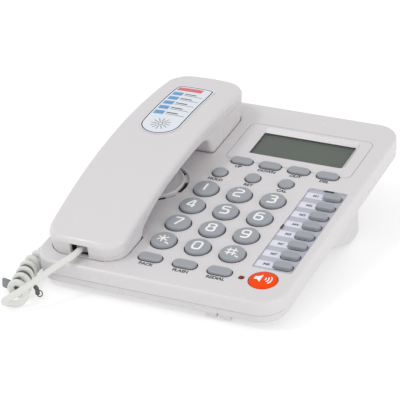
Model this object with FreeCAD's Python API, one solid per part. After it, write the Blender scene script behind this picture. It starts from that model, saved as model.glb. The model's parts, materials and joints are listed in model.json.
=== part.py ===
import FreeCAD, Part
import math
import os

# Corded desk telephone, millimetres.
# The base is drawn in the deck frame: X right, Y back, Z out of the deck, origin at the deck's centre.
# It is then tilted, back raised, and stood on the desk at Z = 0. The cord is drawn straight on the desk.

V = FreeCAD.Vector

# Base housing
BASE_W = 152.0
BASE_D = 200.0
BASE_CORNER_R = 15.0
CASE_H = 14.2
TOP_H = 8.8
WALL = 2.2
DECK_T = 2.4
EDGE_R = 1.8
UNDER_EDGE_R = 1.2
SEAM_STEP = 0.5
LIP_H = 1.4
LIP_T = 1.0
FIT_GAP = 0.2
DECK_TILT = 9.2

# Places on the deck are given for a base of 152 by 200 and move with its size
ACROSS = BASE_W / 152.0
ALONG = BASE_D / 200.0

# Rear stand and feet
STAND_W = 141.0 * ACROSS
STAND_WALL = 2.4
STAND_FRONT_Y = -24.0 * ALONG
STAND_REAR_Y = 35.0 * ALONG
STAND_TIP_Y = 24.0 * ALONG
STAND_TIP_HALF = 5.0
STAND_TIP_R = 2.0
STAND_DROP = 24.0
REAR_DROP = CASE_H + STAND_DROP
STAND_RIB_T = 2.0
STAND_BAYS = 3
FOOT_R = 5.0
FOOT_T = 1.8
FOOT_X = 58.0 * ACROSS
FRONT_FOOT_Y = -82.0 * ALONG
FOOT_RIM = 1.4

# Keys
KEY_TRAVEL = 1.2
KEY_GAP = 0.4
FLANGE_W = 1.1
FLANGE_T = 1.0
STOP_GAP = 0.1
PLUNGER_R = 2.0
PLUNGER_L = 0.6
KEY_ROUND = 1.0
KEY_CROWN = 0.4
DIAL_X = 11.6 * ACROSS
DIAL_Y = -32.6 * ALONG
DIAL_PITCH_X = 21.4 * ACROSS
DIAL_PITCH_Y = 19.35 * ALONG
DIAL_KEY_R = 7.4
DIAL_PROUD = 2.6
FUNCTION_ROW_Y = 16.5 * ALONG
FUNCTION_KEY_R = 4.5
FUNCTION_PROUD = 2.0
BOTTOM_ROW_Y = -79.1 * ALONG
BOTTOM_KEY_L = 14.2
BOTTOM_KEY_W = 7.0
DISPLAY_ROW_X = -2.5 * ACROSS
DISPLAY_ROW_Y = 32.5 * ALONG
DISPLAY_PITCH = 18.5 * ACROSS
DISPLAY_KEY_L = 13.6
DISPLAY_KEY_W = 6.6
OVAL_PROUD = 1.7
MEMORY_X = 64.2 * ACROSS
MEMORY_TOP_Y = 11.4 * ALONG
MEMORY_PITCH = 10.58 * ALONG
MEMORY_KEY_L = 11.2
MEMORY_KEY_W = 5.6
MEMORY_COUNT = 8
SPEAKER_KEY_X = 59.1 * ACROSS
SPEAKER_KEY_Y = -79.0 * ALONG
SPEAKER_KEY_R = 8.2
SPEAKER_PROUD = 1.4
SPEAKER_CROWN = 0.9

# Display, lamp and memory index
WINDOW_X = 25.7 * ACROSS
WINDOW_Y = 59.3 * ALONG
WINDOW_W = 60.4
WINDOW_D = 25.6
WINDOW_BEVEL = 3.0
WINDOW_R = 0.8
LENS_OVERLAP = 1.5
LENS_T = 1.2
LCD_MARGIN = 2.5
FRAME_X0 = -15.2 * ACROSS
FRAME_X1 = 66.2 * ACROSS
FRAME_Y0 = 33.6 * ALONG
FRAME_Y1 = 77.6 * ALONG
FRAME_R = 5.0
FRAME_GROOVE = 0.5
LAMP_X = 46.6 * ACROSS
LAMP_Y = -80.3 * ALONG
LAMP_R = 1.6
LAMP_PROUD = 0.6
INDEX_X0 = 47.4 * ACROSS
INDEX_X1 = 71.6 * ACROSS
INDEX_Y0 = -68.6 * ALONG
INDEX_Y1 = 18.0 * ALONG
INDEX_R = 1.5
INDEX_DEPTH = 1.2
CARD_T = 0.3
COVER_T = 0.8
PRY_R = 1.6

# Circuit board, rubber key mat and case screws
BOARD_Z = -7.2
BOARD_T = 1.6
MAT_T = 0.8
MAT_INSET = 2.0
DOME_R = 3.0
BOARD_X0 = -16.0 * ACROSS
BOARD_X1 = 67.4 * ACROSS
BOARD_Y0 = -91.0 * ALONG
BOARD_Y1 = 76.0 * ALONG
MAT_Y1 = 39.0 * ALONG
STANDOFF_R = 2.5
STANDOFF_INSET = 5.0
POST_R = 3.0
POST_END_Z = -9.6
POST_LEFT_X = -69.0 * ACROSS
POST_RIGHT_X = 69.2 * ACROSS
POST_LEFT_YS = (-45.0 * ALONG, 26.0 * ALONG)
POST_RIGHT_YS = (-87.0 * ALONG, 82.0 * ALONG)
SCREW_R = 1.4
SCREW_TIP_Z = -4.6
SCREW_HEAD_R = 2.6
SCREW_HEAD_H = 1.8

# Loudspeaker and its grille in the deck
GRILLE_X = -43.5 * ACROSS
GRILLE_Y = -4.9 * ALONG
GRILLE_R = 18.6
GRILLE_RISE = 1.2
GRILLE_RIM = 1.6
GRILLE_DISH = 0.5
GRILLE_ROUND = 0.5
MOAT_W = 2.6
MOAT_DEPTH = 1.0
SLOT_COUNT = 8
SLOT_SPAN = 20.0
SLOT_W = 1.3
SPEAKER_R = 17.0
SPEAKER_RING_T = 1.4
SPEAKER_RING_H = 3.0
SPEAKER_H = 8.2
MAGNET_R = 10.0
SPEAKER_RIM_T = 1.6

# Microphone inlet under the front edge
MIC_X = 39.7 * ACROSS
MIC_TAB_W = 7.2
MIC_TAB_GAP = 1.4
MIC_TAB_H = 2.6
MIC_TAB_D = 4.0
MIC_TAB_DRAFT = 0.6
MIC_TAB_SETBACK = 1.3
MIC_NOTCH_W = 1.2
MIC_NOTCH_H = 1.4
MIC_PORT_R = 0.5
MIC_SETBACK = 6.6
MIC_Y = MIC_SETBACK - BASE_D / 2.0
MIC_R = 2.9
MIC_L = 2.8

# Handset, measured in the deck frame where it rests
HAND_X = -47.2 * ACROSS
HAND_FRONT_SETBACK = 9.4
HAND_REAR_SETBACK = 12.4
HAND_FRONT_Y = HAND_FRONT_SETBACK - BASE_D / 2.0
HAND_REAR_Y = BASE_D / 2.0 - HAND_REAR_SETBACK
HAND_BASE_Z = -5.0
HAND_BASE_HALF_W = 23.4
HAND_DRAFT = 0.085
HAND_CORNER_R = 13.0
BACK_FRONT_Z = 11.4
BACK_MID_Z = 26.6
BACK_REAR_Z = 20.6
BACK_CROWN_R = 190.0
SHOULDER_R = 3.6
GRIP_EDGE_R = 2.6
HAND_WALL = 2.2
CUP_FLOOR = 3.4
SPLIT_DROP = 8.0
SPLIT_GAP = 0.15
MOUTH_REAR_Y = -64.0 * ALONG
MOUTH_KNEE = V(0, -58.5 * ALONG, 5.0)
GRIP_FRONT = V(0, -37.0 * ALONG, 12.4)
GRIP_MID = V(0, -8.0 * ALONG, 15.4)
GRIP_REAR = V(0, 17.0 * ALONG, 15.6)
EAR_BEND = V(0, 27.0 * ALONG, 13.4)
EAR_KNEE = V(0, 33.0 * ALONG, 7.5)
EAR_FRONT_Y = 38.5 * ALONG
CUP_EDGE_R = 1.5
WELL_GAP = 1.0
WELL_FLOOR_GAP = 0.3
WELL_FLOOR_T = 1.8
WELL_WALL = 2.4
DISH_R = 15.0
DISH_DEPTH = 1.6
EAR_HOLE_R = 1.0
EAR_HOLE_RING = 7.0
EAR_HOLE_COUNT = 6
EAR_CENTRE_Y = 62.5 * ALONG
RECEIVER_R = 15.5
RECEIVER_H = 8.0
CAPSULE_R = 4.9
CAPSULE_H = 5.5
MOUTH_CENTRE_X = -35.4 * ACROSS
MOUTH_CENTRE_Y = -76.0 * ALONG
MOUTH_SLOTS = 3
MOUTH_SLOT_L = 9.0
MOUTH_SLOT_W = 1.4
MOUTH_SLOT_PITCH = 3.2
LABEL_W = 26.0
LABEL_Y0 = 5.3 * ALONG
LABEL_Y1 = 69.0 * ALONG
LABEL_T = 0.2
LABEL_GLUE = 0.15
LABEL_CORNER_R = 2.0

# Hook switch in the ear well
HOOK_Y = 82.0 * ALONG
HOOK_W = 10.0
HOOK_D = 4.4
HOOK_GAP = 0.3
HOOK_FLANGE = 1.2
HOOK_FLANGE_T = 0.5
HOOK_TOP_GAP = 0.2

# Modular jacks and plugs
JACK_WALL = 1.2
JACK_DEPTH = 8.8
PLUG_W = 7.7
PLUG_H = 6.4
PLUG_L = 11.0
PLUG_GAP = 0.15
LATCH_W = 3.2
LATCH_H = 0.65
LINE_JACK_X = 30.0 * ACROSS
LINE_JACK_W = 9.8
LINE_JACK_H = 6.6
CORD_JACK_X = -52.0 * ACROSS
JACK_Z = -7.2
HAND_JACK_X = -48.2 * ACROSS
HAND_JACK_Z = 4.6
HAND_PORT_W = 11.4
HAND_PORT_H = 7.6
HAND_PORT_DEPTH = 7.0
PLUG_PROUD = 3.6

# Handset cord: lead, curly stretch and base lead
WIRE_D = 3.8
CURL_R = 3.8
CURL_COUNT = 49
END_CURL = 0.25
LOOSE_LENGTH = 30.0
LOOSE_CURLS = 5.0
STEPS_PER_CURL = 2
ROUTE_SHARE = 0.45
JACK_RUN = 8.0
END_RUN = 8.4

# Middle line of the curls on the desk, from the free fold in front to behind the base
COIL_AXIS = [(-71.5, -127.5, 6.3), (-81.0, -95.4, 6.2), (-82.8, -76.0, 6.1), (-82.7, 30.0, 6.1),
             (-82.6, 118.0, 6.1)]
# Handset lead from the jack's straight run to the fold
HAND_LEAD = [(-54.5, -104.1, 20.5), (-61.0, -118.1, 14.5), (-67.0, -131.5, 10.5)]
# Base lead from the curls' straight end to the jack's straight run
BASE_LEAD = [(-79.3, 122.4, 27.5), (-73.5, 125.3, 36.0), (-63.5, 126.0, 42.5), (-55.0, 121.0, 45.8)]

# Twist tie round the curls
TIE_AT = 14.0
TIE_T = 0.6
TIE_W = 3.0
TIE_GAP = 0.3
TIE_TAB_L = 6.0
TIE_TAB_W = 5.2
TIE_EYE_R = 2.6
TIE_EYE_WIRE = 0.6


# Shape helpers

def line(a, b):
    return Part.LineSegment(a, b).toShape()


def arc(a, b, c):
    return Part.Arc(a, b, c).toShape()


def box(x0, x1, y0, y1, z0, z1):
    return Part.makeBox(x1 - x0, y1 - y0, z1 - z0, V(x0, y0, z0))


def cylinder(x, y, r, z0, z1):
    return Part.makeCylinder(r, z1 - z0, V(x, y, z0))


def rounded_wire(x0, x1, y0, y1, r, z, rear_r=None):
    q = rear_r or r
    k = r * (1.0 - math.sqrt(0.5))
    m = q * (1.0 - math.sqrt(0.5))
    return Part.Wire([
        line(V(x0 + r, y0, z), V(x1 - r, y0, z)),
        arc(V(x1 - r, y0, z), V(x1 - k, y0 + k, z), V(x1, y0 + r, z)),
        line(V(x1, y0 + r, z), V(x1, y1 - q, z)),
        arc(V(x1, y1 - q, z), V(x1 - m, y1 - m, z), V(x1 - q, y1, z)),
        line(V(x1 - q, y1, z), V(x0 + q, y1, z)),
        arc(V(x0 + q, y1, z), V(x0 + m, y1 - m, z), V(x0, y1 - q, z)),
        line(V(x0, y1 - q, z), V(x0, y0 + r, z)),
        arc(V(x0, y0 + r, z), V(x0 + k, y0 + k, z), V(x0 + r, y0, z)),
    ])


def rounded_box(x0, x1, y0, y1, r, z0, z1, rear_r=None):
    return Part.Face(rounded_wire(x0, x1, y0, y1, r, z0, rear_r)).extrude(V(0, 0, z1 - z0))


def oval(x, y, length, width, z0, z1):
    r = width / 2.0
    a = length / 2.0 - r
    outline = Part.Wire([
        line(V(x - a, y - r, z0), V(x + a, y - r, z0)),
        arc(V(x + a, y - r, z0), V(x + a + r, y, z0), V(x + a, y + r, z0)),
        line(V(x + a, y + r, z0), V(x - a, y + r, z0)),
        arc(V(x - a, y + r, z0), V(x - a - r, y, z0), V(x - a, y - r, z0)),
    ])
    return Part.Face(outline).extrude(V(0, 0, z1 - z0))


def turned(x, y, profile):
    # a closed profile of (radius, height) points, turned about an upright axis
    points = [V(r, 0, z) for r, z in profile]
    face = Part.Face(Part.makePolygon(points + [points[0]]))
    solid = face.revolve(V(0, 0, 0), V(0, 0, 1), 360)
    solid.translate(V(x, y, 0))
    return solid


def level_edges(shape, z):
    return [e for e in shape.Edges if all(abs(v.Z - z) < 1e-6 for v in e.Vertexes)]


def fused(shapes):
    return shapes[0].multiFuse(shapes[1:]).removeSplitter()


def cut_all(shape, tools):
    return shape.cut(Part.makeCompound(tools))


# Key layout: every key is (name, x, y, kind)

def key_layout():
    keys = []
    dial = ["1", "2", "3", "4", "5", "6", "7", "8", "9", "star", "0", "hash"]
    for i, legend in enumerate(dial):
        x = DIAL_X + (i % 3 - 1) * DIAL_PITCH_X
        y = DIAL_Y + (1.5 - i // 3) * DIAL_PITCH_Y
        keys.append(("dial_key_" + legend, x, y, "dial"))
    for i in range(3):
        x = DIAL_X + (i - 1) * DIAL_PITCH_X
        keys.append(("function_key_%d" % (i + 1), x, FUNCTION_ROW_Y, "function"))
        keys.append(("bottom_key_%d" % (i + 1), x, BOTTOM_ROW_Y, "bottom"))
    for i in range(4):
        keys.append(("display_key_%d" % (i + 1), DISPLAY_ROW_X + i * DISPLAY_PITCH, DISPLAY_ROW_Y, "display"))
    for i in range(MEMORY_COUNT):
        keys.append(("memory_key_%d" % (i + 1), MEMORY_X, MEMORY_TOP_Y - i * MEMORY_PITCH, "memory"))
    keys.append(("speaker_key", SPEAKER_KEY_X, SPEAKER_KEY_Y, "speaker"))
    return keys


KEY_SIZES = {
    "dial": (2 * DIAL_KEY_R, 2 * DIAL_KEY_R, DIAL_PROUD, KEY_CROWN),
    "function": (2 * FUNCTION_KEY_R, 2 * FUNCTION_KEY_R, FUNCTION_PROUD, KEY_CROWN),
    "bottom": (BOTTOM_KEY_L, BOTTOM_KEY_W, OVAL_PROUD, 0.0),
    "display": (DISPLAY_KEY_L, DISPLAY_KEY_W, OVAL_PROUD, 0.0),
    "memory": (MEMORY_KEY_L, MEMORY_KEY_W, OVAL_PROUD, 0.0),
    "speaker": (2 * SPEAKER_KEY_R, 2 * SPEAKER_KEY_R, SPEAKER_PROUD, SPEAKER_CROWN),
}
FLANGE_TOP = -DECK_T - STOP_GAP
FLANGE_BOTTOM = FLANGE_TOP - FLANGE_T
PLUNGER_BOTTOM = FLANGE_BOTTOM - PLUNGER_L


def round_key(x, y, radius, proud, crown):
    # crowned cap with a rolled edge, a stop flange under the deck and a plunger
    roll = KEY_ROUND
    flat = radius - roll
    ball = (flat ** 2 + crown ** 2) / (2.0 * crown)
    edge_z = proud - crown
    mid = math.sqrt(0.5)
    outline = Part.Wire([
        line(V(0, 0, PLUNGER_BOTTOM), V(PLUNGER_R, 0, PLUNGER_BOTTOM)),
        line(V(PLUNGER_R, 0, PLUNGER_BOTTOM), V(PLUNGER_R, 0, FLANGE_BOTTOM)),
        line(V(PLUNGER_R, 0, FLANGE_BOTTOM), V(radius + FLANGE_W, 0, FLANGE_BOTTOM)),
        line(V(radius + FLANGE_W, 0, FLANGE_BOTTOM), V(radius + FLANGE_W, 0, FLANGE_TOP)),
        line(V(radius + FLANGE_W, 0, FLANGE_TOP), V(radius, 0, FLANGE_TOP)),
        line(V(radius, 0, FLANGE_TOP), V(radius, 0, edge_z - roll)),
        arc(V(radius, 0, edge_z - roll), V(radius - roll + roll * mid, 0, edge_z - roll + roll * mid),
            V(flat, 0, edge_z)),
        arc(V(flat, 0, edge_z), V(flat / 2.0, 0, proud - ball + math.sqrt(ball ** 2 - flat ** 2 / 4.0)),
            V(0, 0, proud)),
        line(V(0, 0, proud), V(0, 0, PLUNGER_BOTTOM)),
    ])
    key = Part.Face(outline).revolve(V(0, 0, 0), V(0, 0, 1), 360)
    key.translate(V(x, y, 0))
    return key


def oval_key(x, y, length, width, proud):
    cap = oval(x, y, length, width, FLANGE_TOP, proud)
    cap = cap.makeFillet(KEY_ROUND, level_edges(cap, proud))
    flange = oval(x, y, length + 2 * FLANGE_W, width + 2 * FLANGE_W, FLANGE_BOTTOM, FLANGE_TOP)
    plunger = cylinder(x, y, PLUNGER_R, PLUNGER_BOTTOM, FLANGE_BOTTOM)
    return fused([cap, flange, plunger])


def key_solid(x, y, kind):
    length, width, proud, crown = KEY_SIZES[kind]
    if length == width:
        return round_key(x, y, length / 2.0, proud, crown)
    return oval_key(x, y, length, width, proud)


def key_hole(x, y, kind, z0, z1, gap):
    length, width, proud, crown = KEY_SIZES[kind]
    if length == width:
        return cylinder(x, y, length / 2.0 + gap, z0, z1)
    return oval(x, y, length + 2 * gap, width + 2 * gap, z0, z1)


KEYS = key_layout()
MEMORY_KEYS = [k for k in KEYS if k[3] == "memory"]

HALF_W = BASE_W / 2.0
HALF_D = BASE_D / 2.0
FLOOR_TOP = -CASE_H + WALL
WELL_FLOOR_Z = HAND_BASE_Z - WELL_FLOOR_GAP
WELL_UNDER_Z = WELL_FLOOR_Z - WELL_FLOOR_T
WELL_HALF_W = HAND_BASE_HALF_W + WELL_GAP
OVER = 1.0
TILT = math.radians(DECK_TILT)
DECK_HEIGHT = REAR_DROP * math.cos(TILT) - STAND_TIP_Y * math.sin(TILT)
PORT_END_Y = HAND_FRONT_Y + HAND_PORT_DEPTH
PLUG_OPEN_W = PLUG_W + 2 * PLUG_GAP
PLUG_OPEN_H = PLUG_H + 2 * PLUG_GAP
CASE_POSTS = [(POST_LEFT_X, y) for y in POST_LEFT_YS] + [(POST_RIGHT_X, y) for y in POST_RIGHT_YS]

def at_deck(foot_y, knee):
    # where a cup's inner flank, from its foot up to the knee, passes the deck
    return foot_y + (knee.y - foot_y) * HAND_BASE_Z / (HAND_BASE_Z - knee.z)


# Wells with their front and rear corners: wide at the handset's ends, tight at its square flanks
WELL_END_R = HAND_CORNER_R + WELL_GAP
WELL_FLANK_R = 2.0 * WELL_GAP
WELLS = [
    (HAND_FRONT_Y - WELL_GAP, at_deck(MOUTH_REAR_Y, MOUTH_KNEE) + WELL_GAP, WELL_END_R, WELL_FLANK_R),
    (at_deck(EAR_FRONT_Y, EAR_KNEE) - WELL_GAP, HAND_REAR_Y + WELL_GAP, WELL_FLANK_R, WELL_END_R),
]


# Handset solids

def hand_section(y_front, y_rear, half_w, r, z):
    return rounded_wire(HAND_X - half_w, HAND_X + half_w, y_front, y_rear, r, z)


def hand_plan(inset):
    # drafted block: the plan outline grows from the cups up to the shoulders
    low = HAND_BASE_Z - OVER
    high = BACK_MID_Z + 2 * OVER
    sections = []
    for z in (low, high):
        grow = (z - HAND_BASE_Z) * HAND_DRAFT - inset
        sections.append(hand_section(HAND_FRONT_Y - grow, HAND_REAR_Y + grow, HAND_BASE_HALF_W + grow,
                                     HAND_CORNER_R - inset, z))
    return Part.makeLoft(sections, True, True)


def back_arc(drop):
    # the three points of the arched back in side view, lowered by drop
    y_mid = (HAND_FRONT_Y + HAND_REAR_Y) / 2.0
    return (V(0, HAND_FRONT_Y, BACK_FRONT_Z - drop), V(0, y_mid, BACK_MID_Z - drop),
            V(0, HAND_REAR_Y, BACK_REAR_Z - drop))


BACK_CIRCLE = Part.Arc(*back_arc(0)).toShape().Curve
BACK_CENTRE = BACK_CIRCLE.Center
BACK_RADIUS = BACK_CIRCLE.Radius


def crowned_back(offset):
    # everything under the doubly curved back: a shallow arc turned about the arch's centre
    half = HAND_BASE_HALF_W + 6 * OVER
    top = BACK_RADIUS + offset
    low = BACK_RADIUS - 2 * CASE_H - BACK_MID_Z
    sag = BACK_CROWN_R - math.sqrt(BACK_CROWN_R ** 2 - half ** 2)
    y, z = BACK_CENTRE.y, BACK_CENTRE.z
    start = Part.Wire([
        line(V(HAND_X - half, y, z + low), V(HAND_X + half, y, z + low)),
        line(V(HAND_X + half, y, z + low), V(HAND_X + half, y, z + top - sag)),
        arc(V(HAND_X + half, y, z + top - sag), V(HAND_X, y, z + top), V(HAND_X - half, y, z + top - sag)),
        line(V(HAND_X - half, y, z + top - sag), V(HAND_X - half, y, z + low)),
    ])
    reach = 2 * math.degrees(math.asin((HAND_REAR_Y - HAND_FRONT_Y) / BACK_RADIUS))
    solid = Part.Face(start).revolve(V(0, y, z), V(1, 0, 0), reach)
    solid.rotate(V(0, y, z), V(1, 0, 0), -reach / 2.0)
    return solid


def hand_profile(inset, floor):
    # side view under the back: mouth cup, arched grip, ear cup; hollowed profiles rise by the inset
    up = V(0, 0, inset)
    base = HAND_BASE_Z + floor
    far = 4 * OVER
    front, rear = HAND_FRONT_Y - far, HAND_REAR_Y + far
    top = BACK_MID_Z + far
    mouth = V(0, MOUTH_REAR_Y - inset, base)
    ear = V(0, EAR_FRONT_Y + inset, base)
    knee = MOUTH_KNEE + up - V(0, inset, 0)
    bend = EAR_KNEE + up + V(0, inset, 0)
    grip_curve = Part.BSplineCurve()
    grip_curve.interpolate([knee, GRIP_FRONT + up, GRIP_MID + up, GRIP_REAR + up, EAR_BEND + up, bend])
    outline = Part.Wire([
        line(V(0, front, base), mouth),
        line(mouth, knee),
        grip_curve.toShape(),
        line(bend, ear),
        line(ear, V(0, rear, base)),
        line(V(0, rear, base), V(0, rear, top)),
        line(V(0, rear, top), V(0, front, top)),
        line(V(0, front, top), V(0, front, base)),
    ])
    half = HAND_BASE_HALF_W + 6 * OVER
    prism = Part.Face(outline).extrude(V(2 * half, 0, 0))
    prism.translate(V(HAND_X - half, 0, 0))
    return prism


def hand_block(inset, floor):
    return hand_plan(inset).common(crowned_back(-inset)).common(hand_profile(inset, floor))


def rim_edges(shape, place):
    # edges along the back, along the flank of the grip, or round the foot of the cups
    picked = []
    for e in shape.Edges:
        m = e.valueAt((e.FirstParameter + e.LastParameter) / 2.0)
        run = e.Vertexes[-1].Point.sub(e.Vertexes[0].Point)
        steep = abs(run.z) > 4 * math.hypot(run.x, run.y)
        depth = BACK_RADIUS - math.hypot(m.y - BACK_CENTRE.y, m.z - BACK_CENTRE.z)
        level = all(abs(v.Z - HAND_BASE_Z) < 1e-6 for v in e.Vertexes)
        flank = abs(m.x - HAND_X) > HAND_BASE_HALF_W - OVER
        inside = HAND_FRONT_Y + HAND_CORNER_R < m.y < HAND_REAR_Y - HAND_CORNER_R
        if place == "back" and depth < SHOULDER_R and (flank or not inside) and not steep:
            picked.append(e)
        if place == "cup" and level:
            picked.append(e)
        if place == "grip" and depth > 2 * SHOULDER_R and flank and inside and not level:
            picked.append(e)
    return picked


def handset_shells():
    # the rolled outside less the hollow, parted along a seam that follows the back
    block = hand_block(0.0, 0.0).Solids[0]
    block = block.makeFillet(GRIP_EDGE_R, rim_edges(block, "grip"))
    block = block.makeFillet(CUP_EDGE_R, rim_edges(block, "cup"))
    block = block.makeFillet(SHOULDER_R, rim_edges(block, "back"))
    shell = block.cut(hand_block(HAND_WALL, CUP_FLOOR))
    half_w, half_h = HAND_PORT_W / 2.0, HAND_PORT_H / 2.0
    port = box(HAND_JACK_X - half_w, HAND_JACK_X + half_w, HAND_FRONT_Y - 4 * OVER, PORT_END_Y,
               HAND_JACK_Z - half_h, HAND_JACK_Z + half_h)
    sphere_r = (DISH_R ** 2 + DISH_DEPTH ** 2) / (2.0 * DISH_DEPTH)
    low, high = HAND_BASE_Z - OVER, HAND_BASE_Z + CUP_FLOOR + OVER
    tools = [port, Part.makeSphere(sphere_r, V(HAND_X, EAR_CENTRE_Y, HAND_BASE_Z + DISH_DEPTH - sphere_r))]
    tools.append(cylinder(HAND_X, EAR_CENTRE_Y, EAR_HOLE_R, low, high))
    for i in range(EAR_HOLE_COUNT):
        turn = 2 * math.pi * i / EAR_HOLE_COUNT
        x = HAND_X + EAR_HOLE_RING * math.cos(turn)
        y = EAR_CENTRE_Y + EAR_HOLE_RING * math.sin(turn)
        tools.append(cylinder(x, y, EAR_HOLE_R, low, high))
    for i in range(MOUTH_SLOTS):
        y = MOUTH_CENTRE_Y + (i - (MOUTH_SLOTS - 1) / 2.0) * MOUTH_SLOT_PITCH
        tools.append(oval(MOUTH_CENTRE_X, y, MOUTH_SLOT_L, MOUTH_SLOT_W, low, high))
    shell = cut_all(shell, tools)
    outer = shell.cut(crowned_back(-SPLIT_DROP + SPLIT_GAP / 2.0)).Solids[0]
    inner = shell.common(crowned_back(-SPLIT_DROP - SPLIT_GAP / 2.0)).Solids[0]
    return outer, inner


def handset_label():
    half = LABEL_W / 2.0
    x0, x1 = HAND_X - half, HAND_X + half
    r, k = LABEL_CORNER_R, LABEL_CORNER_R * (1.0 - math.sqrt(0.5))
    outline = Part.Wire([
        arc(V(x0, LABEL_Y0 + half, 0), V(HAND_X, LABEL_Y0, 0), V(x1, LABEL_Y0 + half, 0)),
        line(V(x1, LABEL_Y0 + half, 0), V(x1, LABEL_Y1 - r, 0)),
        arc(V(x1, LABEL_Y1 - r, 0), V(x1 - k, LABEL_Y1 - k, 0), V(x1 - r, LABEL_Y1, 0)),
        line(V(x1 - r, LABEL_Y1, 0), V(x0 + r, LABEL_Y1, 0)),
        arc(V(x0 + r, LABEL_Y1, 0), V(x0 + k, LABEL_Y1 - k, 0), V(x0, LABEL_Y1 - r, 0)),
        line(V(x0, LABEL_Y1 - r, 0), V(x0, LABEL_Y0 + half, 0)),
    ])
    prism = Part.Face(outline).extrude(V(0, 0, 2 * BACK_MID_Z))
    return crowned_back(LABEL_GLUE + LABEL_T).cut(crowned_back(LABEL_GLUE)).common(prism).Solids[0]


# Modular jacks and plugs, drawn with the opening towards +Y at the origin

def placed(shape, x, y, z, turn):
    shape.rotate(V(0, 0, 0), V(0, 0, 1), turn)
    shape.translate(V(x, y, z))
    return shape


def jack(w, h):
    half_w, half_h = w / 2.0, h / 2.0
    back = -JACK_DEPTH + JACK_WALL
    block = box(-half_w - JACK_WALL, half_w + JACK_WALL, -JACK_DEPTH, 0,
                -half_h - JACK_WALL, half_h + JACK_WALL)
    opening = box(-half_w, half_w, back, OVER, -half_h, half_h)
    latch = box(-LATCH_W / 2.0, LATCH_W / 2.0, back, OVER, -half_h - LATCH_H, half_h)
    return cut_all(block, [opening, latch])


def plug():
    half_w, half_h = PLUG_W / 2.0, PLUG_H / 2.0
    latch_w = LATCH_W / 2.0 - PLUG_GAP
    block = box(-half_w, half_w, PLUG_PROUD - PLUG_L, PLUG_PROUD, -half_h, half_h)
    latch = box(-latch_w, latch_w, -PLUG_L / 2.0, PLUG_PROUD, -half_h - LATCH_H + PLUG_GAP, half_h)
    return fused([block, latch])


def handset_jack():
    # a sleeve behind the port, then the jack, trimmed to the hollow of the shell
    half_w, half_h = HAND_PORT_W / 2.0, HAND_PORT_H / 2.0
    sleeve = box(HAND_JACK_X - half_w - JACK_WALL, HAND_JACK_X + half_w + JACK_WALL, HAND_FRONT_Y, PORT_END_Y,
                 HAND_JACK_Z - half_h - JACK_WALL, HAND_JACK_Z + half_h + JACK_WALL)
    sleeve = sleeve.cut(box(HAND_JACK_X - half_w, HAND_JACK_X + half_w, HAND_FRONT_Y - OVER, PORT_END_Y,
                            HAND_JACK_Z - half_h, HAND_JACK_Z + half_h))
    block = placed(jack(PLUG_OPEN_W, PLUG_OPEN_H), HAND_JACK_X, PORT_END_Y, HAND_JACK_Z, 180)
    return fused([sleeve, block]).common(hand_block(HAND_WALL + FIT_GAP, CUP_FLOOR)).Solids[0]


def receiver_capsule():
    low = HAND_BASE_Z + CUP_FLOOR
    rim = SPEAKER_RIM_T
    return turned(HAND_X, EAR_CENTRE_Y, [
        (0, low), (RECEIVER_R, low), (RECEIVER_R, low + 2 * rim), (RECEIVER_R - rim, low + 3 * rim),
        (MAGNET_R, low + 3 * rim), (MAGNET_R, low + RECEIVER_H), (0, low + RECEIVER_H)])


# Base pieces

def well(place, grow, z0, z1):
    y0, y1, front_r, rear_r = place
    x0 = HAND_X - WELL_HALF_W - grow
    x1 = HAND_X + WELL_HALF_W + grow
    return rounded_box(x0, x1, y0 - grow, y1 + grow, front_r + grow, z0, z1, rear_r + grow)


def inset_box(inset, z0, z1):
    return rounded_box(inset - HALF_W, HALF_W - inset, inset - HALF_D, HALF_D - inset,
                       BASE_CORNER_R - inset, z0, z1)


def window_box(grow, z0, z1):
    half_w, half_d = WINDOW_W / 2.0 + grow, WINDOW_D / 2.0 + grow
    return rounded_box(WINDOW_X - half_w, WINDOW_X + half_w, WINDOW_Y - half_d, WINDOW_Y + half_d,
                       WINDOW_R, z0, z1)


def index_box(inset, z0, z1):
    return rounded_box(INDEX_X0 + inset, INDEX_X1 - inset, INDEX_Y0 + inset, INDEX_Y1 - inset,
                       INDEX_R, z0, z1)


def window_bevel():
    # a funnel from the deck down to the window, carried on a little above the deck
    slope = WINDOW_BEVEL / DECK_T
    wires = []
    for z in (-DECK_T, OVER):
        grow = (z + DECK_T) * slope
        half_w, half_d = WINDOW_W / 2.0 + grow, WINDOW_D / 2.0 + grow
        wires.append(rounded_wire(WINDOW_X - half_w, WINDOW_X + half_w, WINDOW_Y - half_d, WINDOW_Y + half_d,
                                  WINDOW_R + grow, z))
    return Part.makeLoft(wires, True, True)


def frame_groove():
    outer = rounded_box(FRAME_X0, FRAME_X1, FRAME_Y0, FRAME_Y1, FRAME_R, -FRAME_GROOVE, OVER)
    g = FRAME_GROOVE
    return outer.cut(rounded_box(FRAME_X0 + g, FRAME_X1 - g, FRAME_Y0 + g, FRAME_Y1 - g, FRAME_R - g,
                                 -2 * FRAME_GROOVE, 2 * OVER))


def grille_slots():
    slots = []
    r0 = GRILLE_R + (MOAT_W - SLOT_W) / 2.0
    for i in range(SLOT_COUNT):
        face = Part.Face(Part.makePolygon([
            V(r0, 0, -DECK_T - OVER), V(r0 + SLOT_W, 0, -DECK_T - OVER), V(r0 + SLOT_W, 0, OVER),
            V(r0, 0, OVER), V(r0, 0, -DECK_T - OVER)]))
        slot = face.revolve(V(0, 0, 0), V(0, 0, 1), SLOT_SPAN)
        slots.append(placed(slot, GRILLE_X, GRILLE_Y, 0, 360.0 * i / SLOT_COUNT))
    return slots


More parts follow.
